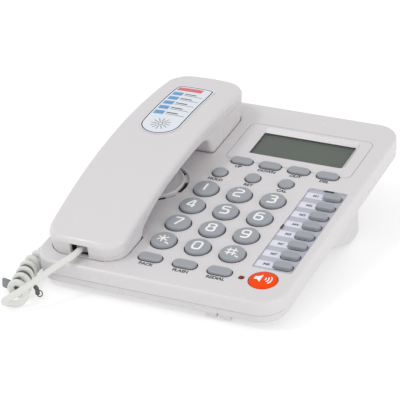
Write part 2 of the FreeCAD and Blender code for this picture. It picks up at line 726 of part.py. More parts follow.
def jack_openings():
    tools = []
    for x, w, h in ((LINE_JACK_X, LINE_JACK_W, LINE_JACK_H), (CORD_JACK_X, PLUG_OPEN_W, PLUG_OPEN_H)):
        half_w, half_h = w / 2.0 + JACK_WALL + FIT_GAP, h / 2.0 + JACK_WALL + FIT_GAP
        tools.append(box(x - half_w, x + half_w, HALF_D - JACK_DEPTH, HALF_D + OVER,
                         JACK_Z - half_h, JACK_Z + half_h))
    return tools


def base_top_case():
    outer = inset_box(0.0, -TOP_H, 0.0)
    outer = outer.makeFillet(EDGE_R, level_edges(outer, 0.0))
    shell = outer.cut(inset_box(WALL, -TOP_H - OVER, -DECK_T))
    overlap = -DECK_T + OVER
    disc = cylinder(GRILLE_X, GRILLE_Y, GRILLE_R, overlap - OVER, GRILLE_RISE)
    disc = disc.makeFillet(GRILLE_ROUND, level_edges(disc, GRILLE_RISE))
    ring_r = SPEAKER_R + FIT_GAP
    ring = cylinder(GRILLE_X, GRILLE_Y, ring_r + SPEAKER_RING_T, -DECK_T - SPEAKER_RING_H, overlap)
    ring = ring.cut(cylinder(GRILLE_X, GRILLE_Y, ring_r, -DECK_T - 2 * SPEAKER_RING_H, -DECK_T))
    added = [well(place, WELL_WALL, WELL_UNDER_Z, overlap) for place in WELLS]
    added += [cylinder(x, y, POST_R, POST_END_Z, overlap) for x, y in CASE_POSTS]
    shell = fused([shell, disc, ring] + added)
    tools = [well(place, 0.0, WELL_FLOOR_Z, OVER) for place in WELLS]
    tools += [key_hole(x, y, kind, -DECK_T - OVER, OVER, KEY_GAP) for name, x, y, kind in KEYS]
    tools += [cylinder(x, y, SCREW_R, POST_END_Z - OVER, SCREW_TIP_Z) for x, y in CASE_POSTS]
    tools += [window_bevel(), window_box(0.0, -DECK_T - OVER, 0.0), frame_groove()]
    moat_r = GRILLE_R + MOAT_W
    tools.append(turned(GRILLE_X, GRILLE_Y, [
        (GRILLE_R, -MOAT_DEPTH), (moat_r, -MOAT_DEPTH), (moat_r, OVER), (GRILLE_R, OVER)]))
    tools.append(cylinder(GRILLE_X, GRILLE_Y, GRILLE_R - GRILLE_RIM, GRILLE_RISE - GRILLE_DISH,
                          GRILLE_RISE + OVER))
    tools.append(cylinder(LAMP_X, LAMP_Y, LAMP_R + FIT_GAP, -DECK_T - OVER, OVER))
    tools.append(index_box(0.0, -INDEX_DEPTH, OVER))
    hook_w, hook_d = HOOK_W / 2.0 + HOOK_GAP, HOOK_D / 2.0 + HOOK_GAP
    tools.append(box(HAND_X - hook_w, HAND_X + hook_w, HOOK_Y - hook_d, HOOK_Y + hook_d,
                     WELL_UNDER_Z - OVER, WELL_FLOOR_Z + OVER))
    tools += grille_slots() + jack_openings()
    for tool in tools:
        shell = shell.cut(tool)
    return shell.Solids[0]


def ground_z(y):
    return -REAR_DROP - (y - STAND_TIP_Y) * math.tan(TILT)


def mic_tab(x):
    half, draft = MIC_TAB_W / 2.0, MIC_TAB_DRAFT
    y = -HALF_D + MIC_TAB_SETBACK
    top, low = -CASE_H + OVER, -CASE_H - MIC_TAB_H
    points = [V(x - half, y, top), V(x - half + draft, y, low), V(x + half - draft, y, low),
              V(x + half, y, top)]
    return Part.Face(Part.makePolygon(points + [points[0]])).extrude(V(0, MIC_TAB_D, 0))


FOOT_BOSS_Z = ground_z(FRONT_FOOT_Y) + FOOT_T + (FOOT_R + FOOT_RIM) * math.tan(TILT)


def base_bottom_case():
    outer = inset_box(SEAM_STEP, -CASE_H, -TOP_H)
    outer = outer.makeFillet(UNDER_EDGE_R, level_edges(outer, -CASE_H))
    lip_inset = WALL + FIT_GAP
    shell = outer.fuse(inset_box(lip_inset, FLOOR_TOP, -TOP_H + LIP_H))
    shell = shell.cut(inset_box(lip_inset + LIP_T, FLOOR_TOP, OVER))
    buried = FLOOR_TOP - OVER
    added = [cylinder(x, y, POST_R, buried, POST_END_Z) for x, y in CASE_POSTS]
    for x in (BOARD_X0 + STANDOFF_INSET, BOARD_X1 - STANDOFF_INSET):
        for y in (BOARD_Y0 + STANDOFF_INSET, BOARD_Y1 - STANDOFF_INSET):
            added.append(cylinder(x, y, STANDOFF_R, buried, BOARD_Z - BOARD_T))
    added += [cylinder(x, FRONT_FOOT_Y, FOOT_R + FOOT_RIM, FOOT_BOSS_Z, buried) for x in (-FOOT_X, FOOT_X)]
    tab_x = (MIC_TAB_W + MIC_TAB_GAP) / 2.0
    added += [mic_tab(MIC_X - tab_x), mic_tab(MIC_X + tab_x)]
    shell = fused([shell] + added)
    tools = jack_openings()
    for x, y in CASE_POSTS:
        tools.append(cylinder(x, y, SCREW_R + FIT_GAP, -CASE_H - OVER, POST_END_Z + OVER))
        tools.append(cylinder(x, y, SCREW_HEAD_R + FIT_GAP, -CASE_H - OVER, -CASE_H + SCREW_HEAD_H))
    tools.append(box(MIC_X - MIC_NOTCH_W / 2.0, MIC_X + MIC_NOTCH_W / 2.0, -HALF_D - OVER, MIC_Y,
                     -CASE_H - OVER, -CASE_H + MIC_NOTCH_H))
    tools.append(cylinder(MIC_X, MIC_Y - MIC_PORT_R, MIC_PORT_R, -CASE_H, FLOOR_TOP + OVER))
    for tool in tools:
        shell = shell.cut(tool)
    return shell.Solids[0]


def case_screws():
    screws = []
    for x, y in CASE_POSTS:
        screws.append(turned(x, y, [
            (0, -CASE_H), (SCREW_HEAD_R, -CASE_H), (SCREW_HEAD_R, -CASE_H + SCREW_HEAD_H),
            (SCREW_R, -CASE_H + SCREW_HEAD_H), (SCREW_R, SCREW_TIP_Z), (0, SCREW_TIP_Z)]))
    return Part.makeCompound(screws)


def lcd_panel():
    return window_box(LCD_MARGIN, BOARD_Z, -DECK_T - LENS_T - STOP_GAP)


def main_board():
    board = box(BOARD_X0, BOARD_X1, BOARD_Y0, BOARD_Y1, BOARD_Z - BOARD_T, BOARD_Z)
    clear = POST_R + FIT_GAP
    return cut_all(board, [cylinder(x, y, clear, BOARD_Z - 2 * BOARD_T, OVER) for x, y in CASE_POSTS])


def key_membrane():
    mat_top = BOARD_Z + MAT_T
    dome_top = PLUNGER_BOTTOM - KEY_TRAVEL - STOP_GAP
    sheet = box(BOARD_X0 + MAT_INSET, BOARD_X1, BOARD_Y0 + MAT_INSET, MAT_Y1, BOARD_Z, mat_top)
    sheet = fused([sheet] + [cylinder(x, y, DOME_R, BOARD_Z, dome_top) for name, x, y, kind in KEYS])
    tools = [cylinder(LAMP_X, LAMP_Y, 2 * LAMP_R, BOARD_Z - OVER, OVER)]
    tools += [cylinder(x, y, POST_R + FIT_GAP, BOARD_Z - OVER, OVER) for x, y in CASE_POSTS]
    return cut_all(sheet, tools)


def loudspeaker():
    top, rim = -DECK_T, SPEAKER_RIM_T
    return turned(GRILLE_X, GRILLE_Y, [
        (0, top - SPEAKER_H), (MAGNET_R, top - SPEAKER_H), (MAGNET_R, top - SPEAKER_H / 2.0),
        (SPEAKER_R, top - rim), (SPEAKER_R, top), (SPEAKER_R - rim, top), (MAGNET_R / 2.0, top - 2 * rim),
        (0, top - rim)])


def speaker_lamp():
    lamp = cylinder(LAMP_X, LAMP_Y, LAMP_R, BOARD_Z, LAMP_PROUD)
    return lamp.makeFillet(LAMP_R / 2.0, level_edges(lamp, LAMP_PROUD))


def memory_index_card():
    card = index_box(FIT_GAP, -INDEX_DEPTH, -INDEX_DEPTH + CARD_T)
    low = -INDEX_DEPTH - OVER
    return cut_all(card, [key_hole(x, y, kind, low, OVER, KEY_GAP) for name, x, y, kind in MEMORY_KEYS])


def memory_index_cover():
    low = -INDEX_DEPTH + CARD_T
    cover = index_box(FIT_GAP, low, low + COVER_T)
    tools = [key_hole(x, y, kind, low - OVER, OVER, KEY_GAP) for name, x, y, kind in MEMORY_KEYS]
    tools.append(cylinder((INDEX_X0 + INDEX_X1) / 2.0, INDEX_Y1, PRY_R, low - OVER, OVER))
    tools.append(cylinder(INDEX_X0, (INDEX_Y0 + INDEX_Y1) / 2.0, PRY_R, low - OVER, OVER))
    return cut_all(cover, tools)


def hook_switch():
    half_w, half_d = HOOK_W / 2.0, HOOK_D / 2.0
    low = FLOOR_TOP + STOP_GAP
    stem = box(HAND_X - half_w, HAND_X + half_w, HOOK_Y - half_d, HOOK_Y + half_d,
               low, HAND_BASE_Z - HOOK_TOP_GAP)
    half_w += HOOK_FLANGE
    half_d += HOOK_FLANGE
    flange = box(HAND_X - half_w, HAND_X + half_w, HOOK_Y - half_d, HOOK_Y + half_d,
                 low, low + HOOK_FLANGE_T)
    return fused([stem, flange])


def stand_profile():
    # side view of the stand: a long slope from the front, a tip along the desk, an upright back
    lift = FOOT_T
    tip0, tip1 = STAND_TIP_Y - STAND_TIP_HALF, STAND_TIP_Y + STAND_TIP_HALF
    points = [V(0, STAND_FRONT_Y, -CASE_H), V(0, tip0, ground_z(tip0) + lift),
              V(0, tip1, ground_z(tip1) + lift),
              V(0, STAND_REAR_Y, ground_z(STAND_REAR_Y) + lift + STAND_TIP_R), V(0, STAND_REAR_Y, -CASE_H)]
    return Part.Face(Part.makePolygon(points + [points[0]]))


def rear_stand():
    profile = stand_profile()
    block = profile.extrude(V(STAND_W, 0, 0))
    hollow = profile.makeOffset2D(-STAND_WALL, 2)
    clear = STAND_WALL / math.tan(math.atan2(STAND_DROP, STAND_TIP_Y - STAND_FRONT_Y))
    bay_w = (STAND_W - 2 * STAND_WALL - (STAND_BAYS - 1) * STAND_RIB_T) / STAND_BAYS
    tools = []
    for i in range(STAND_BAYS):
        x0 = STAND_WALL + i * (bay_w + STAND_RIB_T)
        bay = hollow.extrude(V(bay_w, 0, 0))
        bay.translate(V(x0, 0, 0))
        tools.append(bay)
        tools.append(box(x0, x0 + bay_w, STAND_FRONT_Y + 2 * clear, STAND_REAR_Y - STAND_WALL,
                         -CASE_H - STAND_WALL - OVER, -CASE_H + OVER))
    for tool in tools:
        block = block.cut(tool)
    block.translate(V(-STAND_W / 2.0, 0, 0))
    return block.Solids[0]


def rubber_feet(stand):
    # four pads, cut level with the desk
    desk = Part.makeBox(2 * BASE_W, 2 * BASE_D, BASE_W, V(-BASE_W, -BASE_D, -BASE_W))
    desk.rotate(V(0, 0, 0), V(1, 0, 0), -DECK_TILT)
    desk.translate(V(0, STAND_TIP_Y, -REAR_DROP))
    pads = []
    for x in (-FOOT_X, FOOT_X):
        pads.append(cylinder(x, FRONT_FOOT_Y, FOOT_R, FOOT_BOSS_Z - 2 * FOOT_R, FOOT_BOSS_Z).cut(desk))
        tip = cylinder(x, STAND_TIP_Y, STAND_TIP_HALF - OVER, -REAR_DROP - 2 * FOOT_R,
                       -REAR_DROP + 2 * FOOT_T)
        pads.append(tip.cut(stand).cut(desk))
    return Part.makeCompound([p.Solids[0] for p in pads])


# Cord

def on_desk(places):
    return [V(x * ACROSS, y * ALONG, z) for x, y, z in places]


def route(points):
    # straight runs joined by tangent arcs, as (length, place at a distance) pieces
    pieces = []
    radii = []
    start = points[0]
    for a, b, c in zip(points, points[1:], points[2:]):
        into, out = (b - a).normalize(), (c - b).normalize()
        turn = math.acos(max(-1.0, min(1.0, into.dot(out))))
        reach = ROUTE_SHARE * min((b - a).Length, (c - b).Length)
        r = reach / math.tan(turn / 2.0)
        side = (out - into * into.dot(out)).normalize()
        bend = b - into * reach
        pieces.append(((bend - start).Length, start, into, None, 0.0))
        pieces.append((r * turn, bend, into, side, r))
        radii.append(r)
        start = b + out * reach
    pieces.append(((points[-1] - start).Length, start, (points[-1] - start).normalize(), None, 0.0))
    return pieces, radii


def route_length(pieces):
    return sum(p[0] for p in pieces)


def on_piece(piece, s):
    length, start, into, side, r = piece
    if side is None:
        return start + into * s, V(into)
    t = s / r
    place = start + into * (r * math.sin(t)) + side * (r * (1.0 - math.cos(t)))
    return place, into * math.cos(t) + side * math.sin(t)


def along(pieces, s):
    for piece in pieces[:-1]:
        if s <= piece[0]:
            return on_piece(piece, s)
        s -= piece[0]
    return on_piece(pieces[-1], s)


def route_edges(pieces):
    edges = []
    for piece in pieces:
        ends = [on_piece(piece, piece[0] * share)[0] for share in (0.0, 0.5, 1.0)]
        if piece[3] is None:
            edges.append(line(ends[0], ends[2]))
        else:
            edges.append(arc(*ends))
    return edges


def tube(edges):
    path = Part.Wire(edges)
    first = edges[0]
    start = first.valueAt(first.FirstParameter)
    heading = first.tangentAt(first.FirstParameter)
    ring = Part.Wire([Part.Circle(start, heading, WIRE_D / 2.0).toShape()])
    shell = Part.BRepOffsetAPI.MakePipeShell(path)
    shell.add(ring)
    shell.build()
    shell.makeSolid()
    return shell.shape()


def loosened(turns):
    # extra length along the axis of the first turns, which lie apart by the fold
    return LOOSE_LENGTH * (1.0 - math.exp(-turns / LOOSE_CURLS))


def curl_place(axis, length, turn_share):
    # place on the curls, from the underside at the start to the side at the end
    turns = CURL_COUNT + END_CURL
    turn = turns * turn_share
    run = (length - loosened(turns)) * turn_share + loosened(turn)
    c, t = along(axis, run)
    right = t.cross(V(0, 0, 1)).normalize()
    up = right.cross(t)
    phi = 2.0 * math.pi * turn - math.pi / 2.0
    return c + right * (CURL_R * math.cos(phi)) + up * (CURL_R * math.sin(phi))


def biarc(p0, t0, p1, t1):
    v = p1 - p0
    t = t0 + t1
    k = 2.0 * (1.0 - t0.dot(t1))
    d = (-v.dot(t) + math.sqrt(v.dot(t) ** 2 + k * v.dot(v))) / k
    joint = (p0 + p1 + (t0 - t1) * d) * 0.5
    return [arc_from(p0, t0, joint), arc_from(p1, t1 * -1.0, joint)]


def arc_from(p, t, q):
    # circular arc from p, leaving along t, to q, with its middle point
    chord = q - p
    half = t.getAngle(chord) / 2.0
    bulge = t - chord * (t.dot(chord) / chord.dot(chord))
    bulge.normalize()
    return p, (p + q) * 0.5 + bulge * (chord.Length / 2.0 * math.tan(half)), q


def coil_edges(axis, lead_end, lead_heading):
    length = route_length(axis)
    steps = round(STEPS_PER_CURL * (CURL_COUNT + END_CURL))
    tiny = 1e-5
    places = []
    for i in range(steps + 1):
        share = i / steps
        before = curl_place(axis, length, max(0.0, share - tiny))
        after = curl_place(axis, length, min(1.0, share + tiny))
        places.append((curl_place(axis, length, share), (after - before).normalize()))
    fold = lead_end + lead_heading * WIRE_D
    places.insert(0, (fold, lead_heading))
    arcs = []
    for (p0, t0), (p1, t1) in zip(places, places[1:]):
        first, second = biarc(p0, t0, p1, t1)
        arcs += [first, (second[2], second[1], second[0])]
    last, heading = places[-1]
    end = last + heading * WIRE_D
    edges = [line(lead_end, fold)] + [arc(*a) for a in arcs] + [line(last, end)]
    return edges, end, heading


def own_gap(edges):
    # least clear distance between stretches of the wire that are more than half a curl apart
    points = []
    run = 0.0
    for e in edges:
        count = max(2, int(e.Length / (WIRE_D / 4.0)))
        for i in range(count):
            share = i / count
            p = e.valueAt(e.FirstParameter + (e.LastParameter - e.FirstParameter) * share)
            points.append((run + e.Length * share, p.x, p.y, p.z))
        run += e.Length
    far = math.pi * CURL_R
    near = 6 * far
    least = near
    for i, (s, x, y, z) in enumerate(points):
        for s2, x2, y2, z2 in points[i + 1:]:
            if s2 - s > near:
                break
            if s2 - s > far:
                least = min(least, math.sqrt((x - x2) ** 2 + (y - y2) ** 2 + (z - z2) ** 2))
    return least - WIRE_D


def twist_tie(axis):
    # a flat band round the curls, a tab on the outside and a wire eye towards the base
    c, t = along(axis, TIE_AT)
    inner = CURL_R + WIRE_D / 2.0 + TIE_GAP
    outer = inner + TIE_T
    start = V(0, 0, -TIE_W / 2.0)
    band = Part.makeCylinder(outer, TIE_W, start).cut(Part.makeCylinder(inner, TIE_W, start))
    tab = box(-outer - TIE_TAB_L, -inner, -TIE_T, TIE_T, -TIE_TAB_W / 2.0, TIE_TAB_W / 2.0)
    tab = tab.cut(Part.makeCylinder(inner, 2 * TIE_TAB_W, V(0, 0, -TIE_TAB_W)))
    eye = Part.makeTorus(TIE_EYE_R, TIE_EYE_WIRE, V(outer + TIE_EYE_R, 0, 0), V(0, 0, 1))
    tie = fused([band, tab, eye])
    tie.Placement = FreeCAD.Placement(c, FreeCAD.Rotation(t.cross(V(0, 0, 1)), V(0, 0, 1), t, "ZXY"))
    return tie


# Everything in the deck frame

handset_outer, handset_inner = handset_shells()
stand = rear_stand()
deck_nodes = {
    "base_top_case": base_top_case(),
    "base_bottom_case": base_bottom_case(),
    "display_window": window_box(LENS_OVERLAP, -DECK_T - LENS_T, -DECK_T),
    "lcd_panel": lcd_panel(),
    "main_board": main_board(),
    "key_membrane": key_membrane(),
    "loudspeaker": loudspeaker(),
    "handsfree_microphone": cylinder(MIC_X, MIC_Y, MIC_R, FLOOR_TOP, FLOOR_TOP + MIC_L),
    "speaker_lamp": speaker_lamp(),
    "memory_index_card": memory_index_card(),
    "memory_index_cover": memory_index_cover(),
    "line_jack": placed(jack(LINE_JACK_W, LINE_JACK_H), LINE_JACK_X, HALF_D, JACK_Z, 0),
    "base_handset_jack": placed(jack(PLUG_OPEN_W, PLUG_OPEN_H), CORD_JACK_X, HALF_D, JACK_Z, 0),
    "base_plug": placed(plug(), CORD_JACK_X, HALF_D, JACK_Z, 0),
    "rear_stand": stand,
    "rubber_feet": rubber_feet(stand),
    "case_screws": case_screws(),
    "handset_outer_shell": handset_outer,
    "handset_inner_shell": handset_inner,
    "receiver_capsule": receiver_capsule(),
    "handset_microphone": cylinder(MOUTH_CENTRE_X, MOUTH_CENTRE_Y, CAPSULE_R, HAND_BASE_Z + CUP_FLOOR,
                                   HAND_BASE_Z + CUP_FLOOR + CAPSULE_H),
    "handset_jack": handset_jack(),
    "handset_label": handset_label(),
    "handset_plug": placed(plug(), HAND_JACK_X, PORT_END_Y, HAND_JACK_Z, 180),
    "hook_switch": hook_switch(),
}
for name, x, y, kind in KEYS:
    deck_nodes[name] = key_solid(x, y, kind)

# Tilt the telephone and stand it on the desk, origin under the middle of it

tilt = FreeCAD.Placement(V(0, 0, DECK_HEIGHT), FreeCAD.Rotation(V(1, 0, 0), DECK_TILT))
for name, shape in deck_nodes.items():
    shape.Placement = tilt.multiply(shape.Placement)
extent = [deck_nodes[name].optimalBoundingBox(False, False) for name in ("base_top_case", "base_bottom_case")]
middle_y = (min(b.YMin for b in extent) + max(b.YMax for b in extent)) / 2.0

# Cord on the desk, between the two plugs

hand_exit = tilt.multVec(V(HAND_JACK_X, PORT_END_Y - PLUG_PROUD, HAND_JACK_Z))
hand_run = tilt.multVec(V(HAND_JACK_X, PORT_END_Y - PLUG_PROUD - JACK_RUN, HAND_JACK_Z))
base_exit = tilt.multVec(V(CORD_JACK_X, HALF_D + PLUG_PROUD, JACK_Z))
base_run = tilt.multVec(V(CORD_JACK_X, HALF_D + PLUG_PROUD + JACK_RUN, JACK_Z))
axis, axis_radii = route(on_desk(COIL_AXIS))
hand_points = [hand_exit, hand_run] + on_desk(HAND_LEAD)
hand_pieces, hand_radii = route(hand_points)
fold_heading = (hand_points[-1] - hand_points[-2]).normalize()
coil, coil_end, coil_heading = coil_edges(axis, hand_points[-1], fold_heading)
base_start = [coil_end, coil_end + coil_heading * END_RUN]
base_pieces, base_radii = route(base_start + on_desk(BASE_LEAD) + [base_run, base_exit])
nodes = dict(deck_nodes)
nodes["handset_lead"] = tube(route_edges(hand_pieces))
nodes["curly_cord"] = tube(coil)
nodes["base_lead"] = tube(route_edges(base_pieces))
nodes["twist_tie"] = twist_tie(axis)

section = math.pi * WIRE_D ** 2 / 4.0
print("curl axis radii", [round(r, 1) for r in axis_radii])
print("handset lead radii", [round(r, 1) for r in hand_radii])
print("base lead radii", [round(r, 1) for r in base_radii])
print("tightest arc of the curls", round(min(e.Curve.Radius for e in coil[1:-1]), 2))
print("least gap of the curls", round(own_gap(coil), 2))
for name, run in (("handset_lead", route_length(hand_pieces)), ("curly_cord", sum(e.Length for e in coil)),
                  ("base_lead", route_length(base_pieces))):
    print(name, "length", round(run, 1), "volume share", round(nodes[name].Volume / (section * run), 4))

os.makedirs("parts", exist_ok=True)
for name, shape in nodes.items():
    shape.translate(V(0, -middle_y, 0))
    if not shape.isValid():
        print("not valid:", name)
    shape.exportStep("parts/" + name + ".step")
print("deck's centre at height", round(DECK_HEIGHT, 3), "middle", round(middle_y, 3), "pieces", len(nodes))
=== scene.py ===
import json
import math
import bpy
import bmesh
from mathutils import Matrix, Vector


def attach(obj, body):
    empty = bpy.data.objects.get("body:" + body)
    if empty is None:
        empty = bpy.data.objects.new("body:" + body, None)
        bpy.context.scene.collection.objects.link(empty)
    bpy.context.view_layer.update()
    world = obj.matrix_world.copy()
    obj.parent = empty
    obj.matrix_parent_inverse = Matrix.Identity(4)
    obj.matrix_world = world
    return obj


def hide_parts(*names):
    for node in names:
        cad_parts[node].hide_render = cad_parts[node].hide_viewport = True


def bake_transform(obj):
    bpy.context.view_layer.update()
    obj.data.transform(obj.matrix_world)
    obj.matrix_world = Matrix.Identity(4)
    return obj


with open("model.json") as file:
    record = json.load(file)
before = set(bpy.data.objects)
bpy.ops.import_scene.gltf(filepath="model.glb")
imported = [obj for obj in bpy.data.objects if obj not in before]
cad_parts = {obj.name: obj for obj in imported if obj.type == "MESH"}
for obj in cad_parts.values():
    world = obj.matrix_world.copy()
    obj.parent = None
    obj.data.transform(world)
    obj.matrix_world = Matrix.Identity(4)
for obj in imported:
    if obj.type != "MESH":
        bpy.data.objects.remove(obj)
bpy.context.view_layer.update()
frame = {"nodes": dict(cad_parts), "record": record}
nodes = frame["nodes"]
scene = bpy.context.scene
MM = 0.001

# Sizes shared with the solids, millimetres in the deck frame
DECK_TILT = 9.2
DECK_HEIGHT = 33.871
MIDDLE_Y = 0.932
DECK = (Matrix.Translation((0, -MIDDLE_Y * MM, DECK_HEIGHT * MM))
        @ Matrix.Rotation(math.radians(DECK_TILT), 4, "X"))
BASE_W, BASE_D, BASE_CORNER_R = 152.0, 200.0, 15.0
TOP_H, SEAM_STEP = 8.8, 0.5
DIAL_X, DIAL_Y, DIAL_PITCH_X, DIAL_PITCH_Y = 11.6, -32.6, 21.4, 19.35
DIAL_PROUD, DIAL_KEY_R, KEY_ROUND, KEY_CROWN = 2.6, 7.4, 1.0, 0.4
SPEAKER_X, SPEAKER_Y, SPEAKER_R, SPEAKER_PROUD, SPEAKER_RISE = 59.1, -79.0, 8.2, 1.4, 0.9
FUNCTION_ROW_Y, FUNCTION_KEY_R = 16.5, 4.5
BOTTOM_ROW_Y, BOTTOM_KEY_L, BOTTOM_KEY_W = -79.1, 14.2, 7.0
DISPLAY_ROW_X, DISPLAY_ROW_Y, DISPLAY_PITCH = -2.5, 32.5, 18.5
DISPLAY_KEY_L, DISPLAY_KEY_W = 13.6, 6.6
MEMORY_X, MEMORY_TOP_Y, MEMORY_PITCH = 64.2, 11.4, 10.58
MEMORY_KEY_L, MEMORY_KEY_W, MEMORY_COUNT = 11.2, 5.6, 8
INDEX_LEFT, INDEX_BACK = 47.4, 18.0
CARD_TOP = -0.9
GRILLE_X, GRILLE_Y, MOAT_FLOOR = -43.5, -4.9, -1.0
HAND_X = -47.2
BACK = ((-90.6, 11.4), (-1.5, 26.6), (87.6, 20.6))
BACK_CROWN_R = 190.0
LABEL_W, LABEL_FRONT, LABEL_BACK = 26.0, 5.3, 69.0
LABEL_TOP = 0.35
WIRE_R = 1.9


# Colours and materials

# How a moulded surface varies: its clouds' size in millimetres, their change of gloss, and the fine relief
CLOUD_MM, CLOUD_DETAIL, GLOSS_SPAN = 30.0, 2.0, 0.05
GRAIN_STRENGTH, GRAIN_DETAIL = 0.4, 3.0


def colour(code):
    # sRGB hex to the linear values that the shader takes
    value = [int(code[i:i + 2], 16) / 255 for i in (0, 2, 4)]
    return [c / 12.92 if c <= 0.04045 else ((c + 0.055) / 1.055) ** 2.4 for c in value] + [1.0]


def add(tree, kind, links=(), **values):
    node = tree.nodes.new(kind)
    for name, value in values.items():
        setattr(node, name, value)
    for socket, source in links:
        if isinstance(source, bpy.types.NodeSocket):
            tree.links.new(source, node.inputs[socket])
        else:
            node.inputs[socket].default_value = source
    return node


def moulded(name, code, roughness, grain_mm, depth_mm, tint=0.012, **sockets):
    # fine relief, and a colour and gloss that vary a little over a few centimetres
    material = bpy.data.materials.new(name)
    material.use_nodes = True
    tree = material.node_tree
    shader = tree.nodes["Principled BSDF"]
    for socket, value in sockets.items():
        shader.inputs[socket.replace("_", " ")].default_value = value
    place = add(tree, "ShaderNodeTexCoord").outputs["Object"]
    grain = add(tree, "ShaderNodeTexNoise", [
        ("Vector", place), ("Scale", 1 / (grain_mm * MM)), ("Detail", GRAIN_DETAIL)])
    relief = add(tree, "ShaderNodeBump", [
        ("Height", grain.outputs["Fac"]), ("Strength", GRAIN_STRENGTH), ("Distance", depth_mm * MM)])
    tree.links.new(relief.outputs["Normal"], shader.inputs["Normal"])
    cloud = add(tree, "ShaderNodeTexNoise", [
        ("Vector", place), ("Scale", 1 / (CLOUD_MM * MM)), ("Detail", CLOUD_DETAIL)])
    gloss = add(tree, "ShaderNodeMapRange", [
        ("Value", cloud.outputs["Fac"]),
        ("To Min", roughness - GLOSS_SPAN), ("To Max", roughness + GLOSS_SPAN)])
    tree.links.new(gloss.outputs["Result"], shader.inputs["Roughness"])
    shades = [[c * k for c in colour(code)[:3]] + [1.0] for k in (1 - tint, 1 + tint)]
    shade = add(tree, "ShaderNodeMix", [("Factor", cloud.outputs["Fac"])], data_type="RGBA")
    shade.inputs["A"].default_value, shade.inputs["B"].default_value = shades
    tree.links.new(shade.outputs["Result"], shader.inputs["Base Color"])
    return material


# Moulded ABS with a fine spark texture: an even off-white with soft highlights on the edges
HOUSING = moulded("off_white_abs", "DAD7D9", 0.28, 0.5, 0.015, tint=0.006)
# Key caps in the same plastic, a cool grey with a satin top
KEY_GREY = moulded("grey_key_abs", "9DA1A7", 0.4, 0.4, 0.01)
# The loudspeaker key is smooth, deeply coloured and almost without a highlight
ORANGE = moulded("orange_key_abs", "F74902", 0.45, 0.6, 0.005, Specular_IOR_Level=0.1)
# Pad print on the keys: thin white ink with a little sheen
WHITE_INK = moulded("white_print", "F6F6F6", 0.5, 0.3, 0.004)
# Pad print on the deck: dull dark grey ink
GREY_INK = moulded("grey_print", "464348", 0.6, 0.3, 0.004)
# Print on the card, paler because the paper takes up the ink
CARD_INK = moulded("card_ink", "6C6B74", 0.6, 0.3, 0.004)
# Print on the label: almost black with a blue cast
DARK_INK = moulded("dark_print", "3A3A44", 0.6, 0.3, 0.004)
# The display's rear film: an unlit grey-green that shows no gloss under the window
LCD = moulded("lcd_film", "4B554C", 0.5, 0.3, 0.002, tint=0.05, Specular_IOR_Level=0.1)
# Printed card with paper fibre under a clear cover, and its white fields
CARD = moulded("lilac_card", "B8B9C7", 0.6, 0.4, 0.01, tint=0.02)
CARD_TAB = moulded("white_card", "E2E3EF", 0.6, 0.4, 0.01, tint=0.02)
# Cast acrylic: almost nothing but its reflections
CLEAR = moulded("clear_acrylic", "FFFFFF", 0.1, 4.0, 0.002, Alpha=0.04)
# Printed film on the handset: smooth, a little cooler than the plastic, with clear blue and red fields
LABEL_FILM = moulded("label_film", "E3E8EF", 0.32, 2.0, 0.004)
LABEL_BLUE = moulded("label_blue_print", "5F9BD2", 0.4, 0.4, 0.003, tint=0.04)
LABEL_RED = moulded("label_red_print", "D9666B", 0.4, 0.4, 0.003, tint=0.04)
# Soft PVC sheath: faintly green white with a waxy sheen
CORD = moulded("cord_pvc", "DEDFDA", 0.36, 0.8, 0.01)
# The tie's flat tab: mid grey and satin
TIE_GREY = moulded("tie_plastic", "8D9093", 0.45, 0.5, 0.01)
# The tie's sheathed wire: dark warm grey
TIE_DARK = moulded("tie_wire", "5C5A57", 0.35, 0.5, 0.01)
# Dark plastic of jacks and parts inside the case
DARK = moulded("dark_abs", "2A2A2C", 0.5, 0.5, 0.01)
# Painted shade in the gaps round the keys and in the pry notches: dull and nearly black
PAINTED_GAP_SHADE = moulded("painted_gap_shade", "2E2D30", 0.8, 0.5, 0.01)
# The housing's plastic in the shade of the seam
SEAM = moulded("seam_shade", "8E8B8E", 0.8, 0.5, 0.01)
# Painted shade of open slots: black without a highlight
SLOT_SHADE = moulded("painted_slot_shade", "0A0A0B", 0.8, 0.5, 0.01)
# Unlit lamp: deep red and glossy
LAMP = moulded("red_lamp", "6E1412", 0.2, 1.0, 0.002)
# Modular plug: clear plastic gone slightly milky
PLUG = moulded("clear_plug", "D8DAD6", 0.15, 2.0, 0.004, Alpha=0.6)
# Feet: dull black rubber
RUBBER = moulded("foot_rubber", "2B2B2B", 0.8, 0.6, 0.02)
# Plated steel of screws and capsules: a plain metal sheen
STEEL = moulded("screw_steel", "9A9A9C", 0.35, 0.3, 0.004, Metallic=1.0)
# Circuit board: green resin
BOARD = moulded("board_resin", "1E4A2A", 0.5, 0.8, 0.01)

SLOTS = {
    "housing": HOUSING, "key_grey": KEY_GREY, "speaker_key": ORANGE, "window": CLEAR, "lcd": LCD,
    "board": BOARD, "key_mat": DARK, "speaker_metal": DARK, "capsule": STEEL, "lamp": LAMP, "card": CARD,
    "clear_cover": CLEAR, "jack": DARK, "plug": PLUG, "foot_rubber": RUBBER, "screw_steel": STEEL,
    "cord": CORD, "tie": TIE_GREY, "label": LABEL_FILM,
}
for part in frame["record"]["subparts"]:
    for slot in nodes[part["node"]].material_slots:
        slot.material = SLOTS[part["material_slot"]]


# Pieces made here: finished meshes at the origin, riding on a body

def piece(name, mesh, material, body):
    mesh.name = name
    mesh.materials.clear()
    mesh.materials.append(material)
    obj = bpy.data.objects.new(name, mesh)
    scene.collection.objects.link(obj)
    if body:
        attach(obj, body)
    return obj


def evaluated(obj):
    # the plain mesh that a curve, text or modifier makes; the draft object goes
    scene.collection.objects.link(obj)
    bpy.context.view_layer.update()
    mesh = bpy.data.meshes.new_from_object(obj.evaluated_get(bpy.context.evaluated_depsgraph_get()))
    bpy.data.objects.remove(obj)
    return mesh


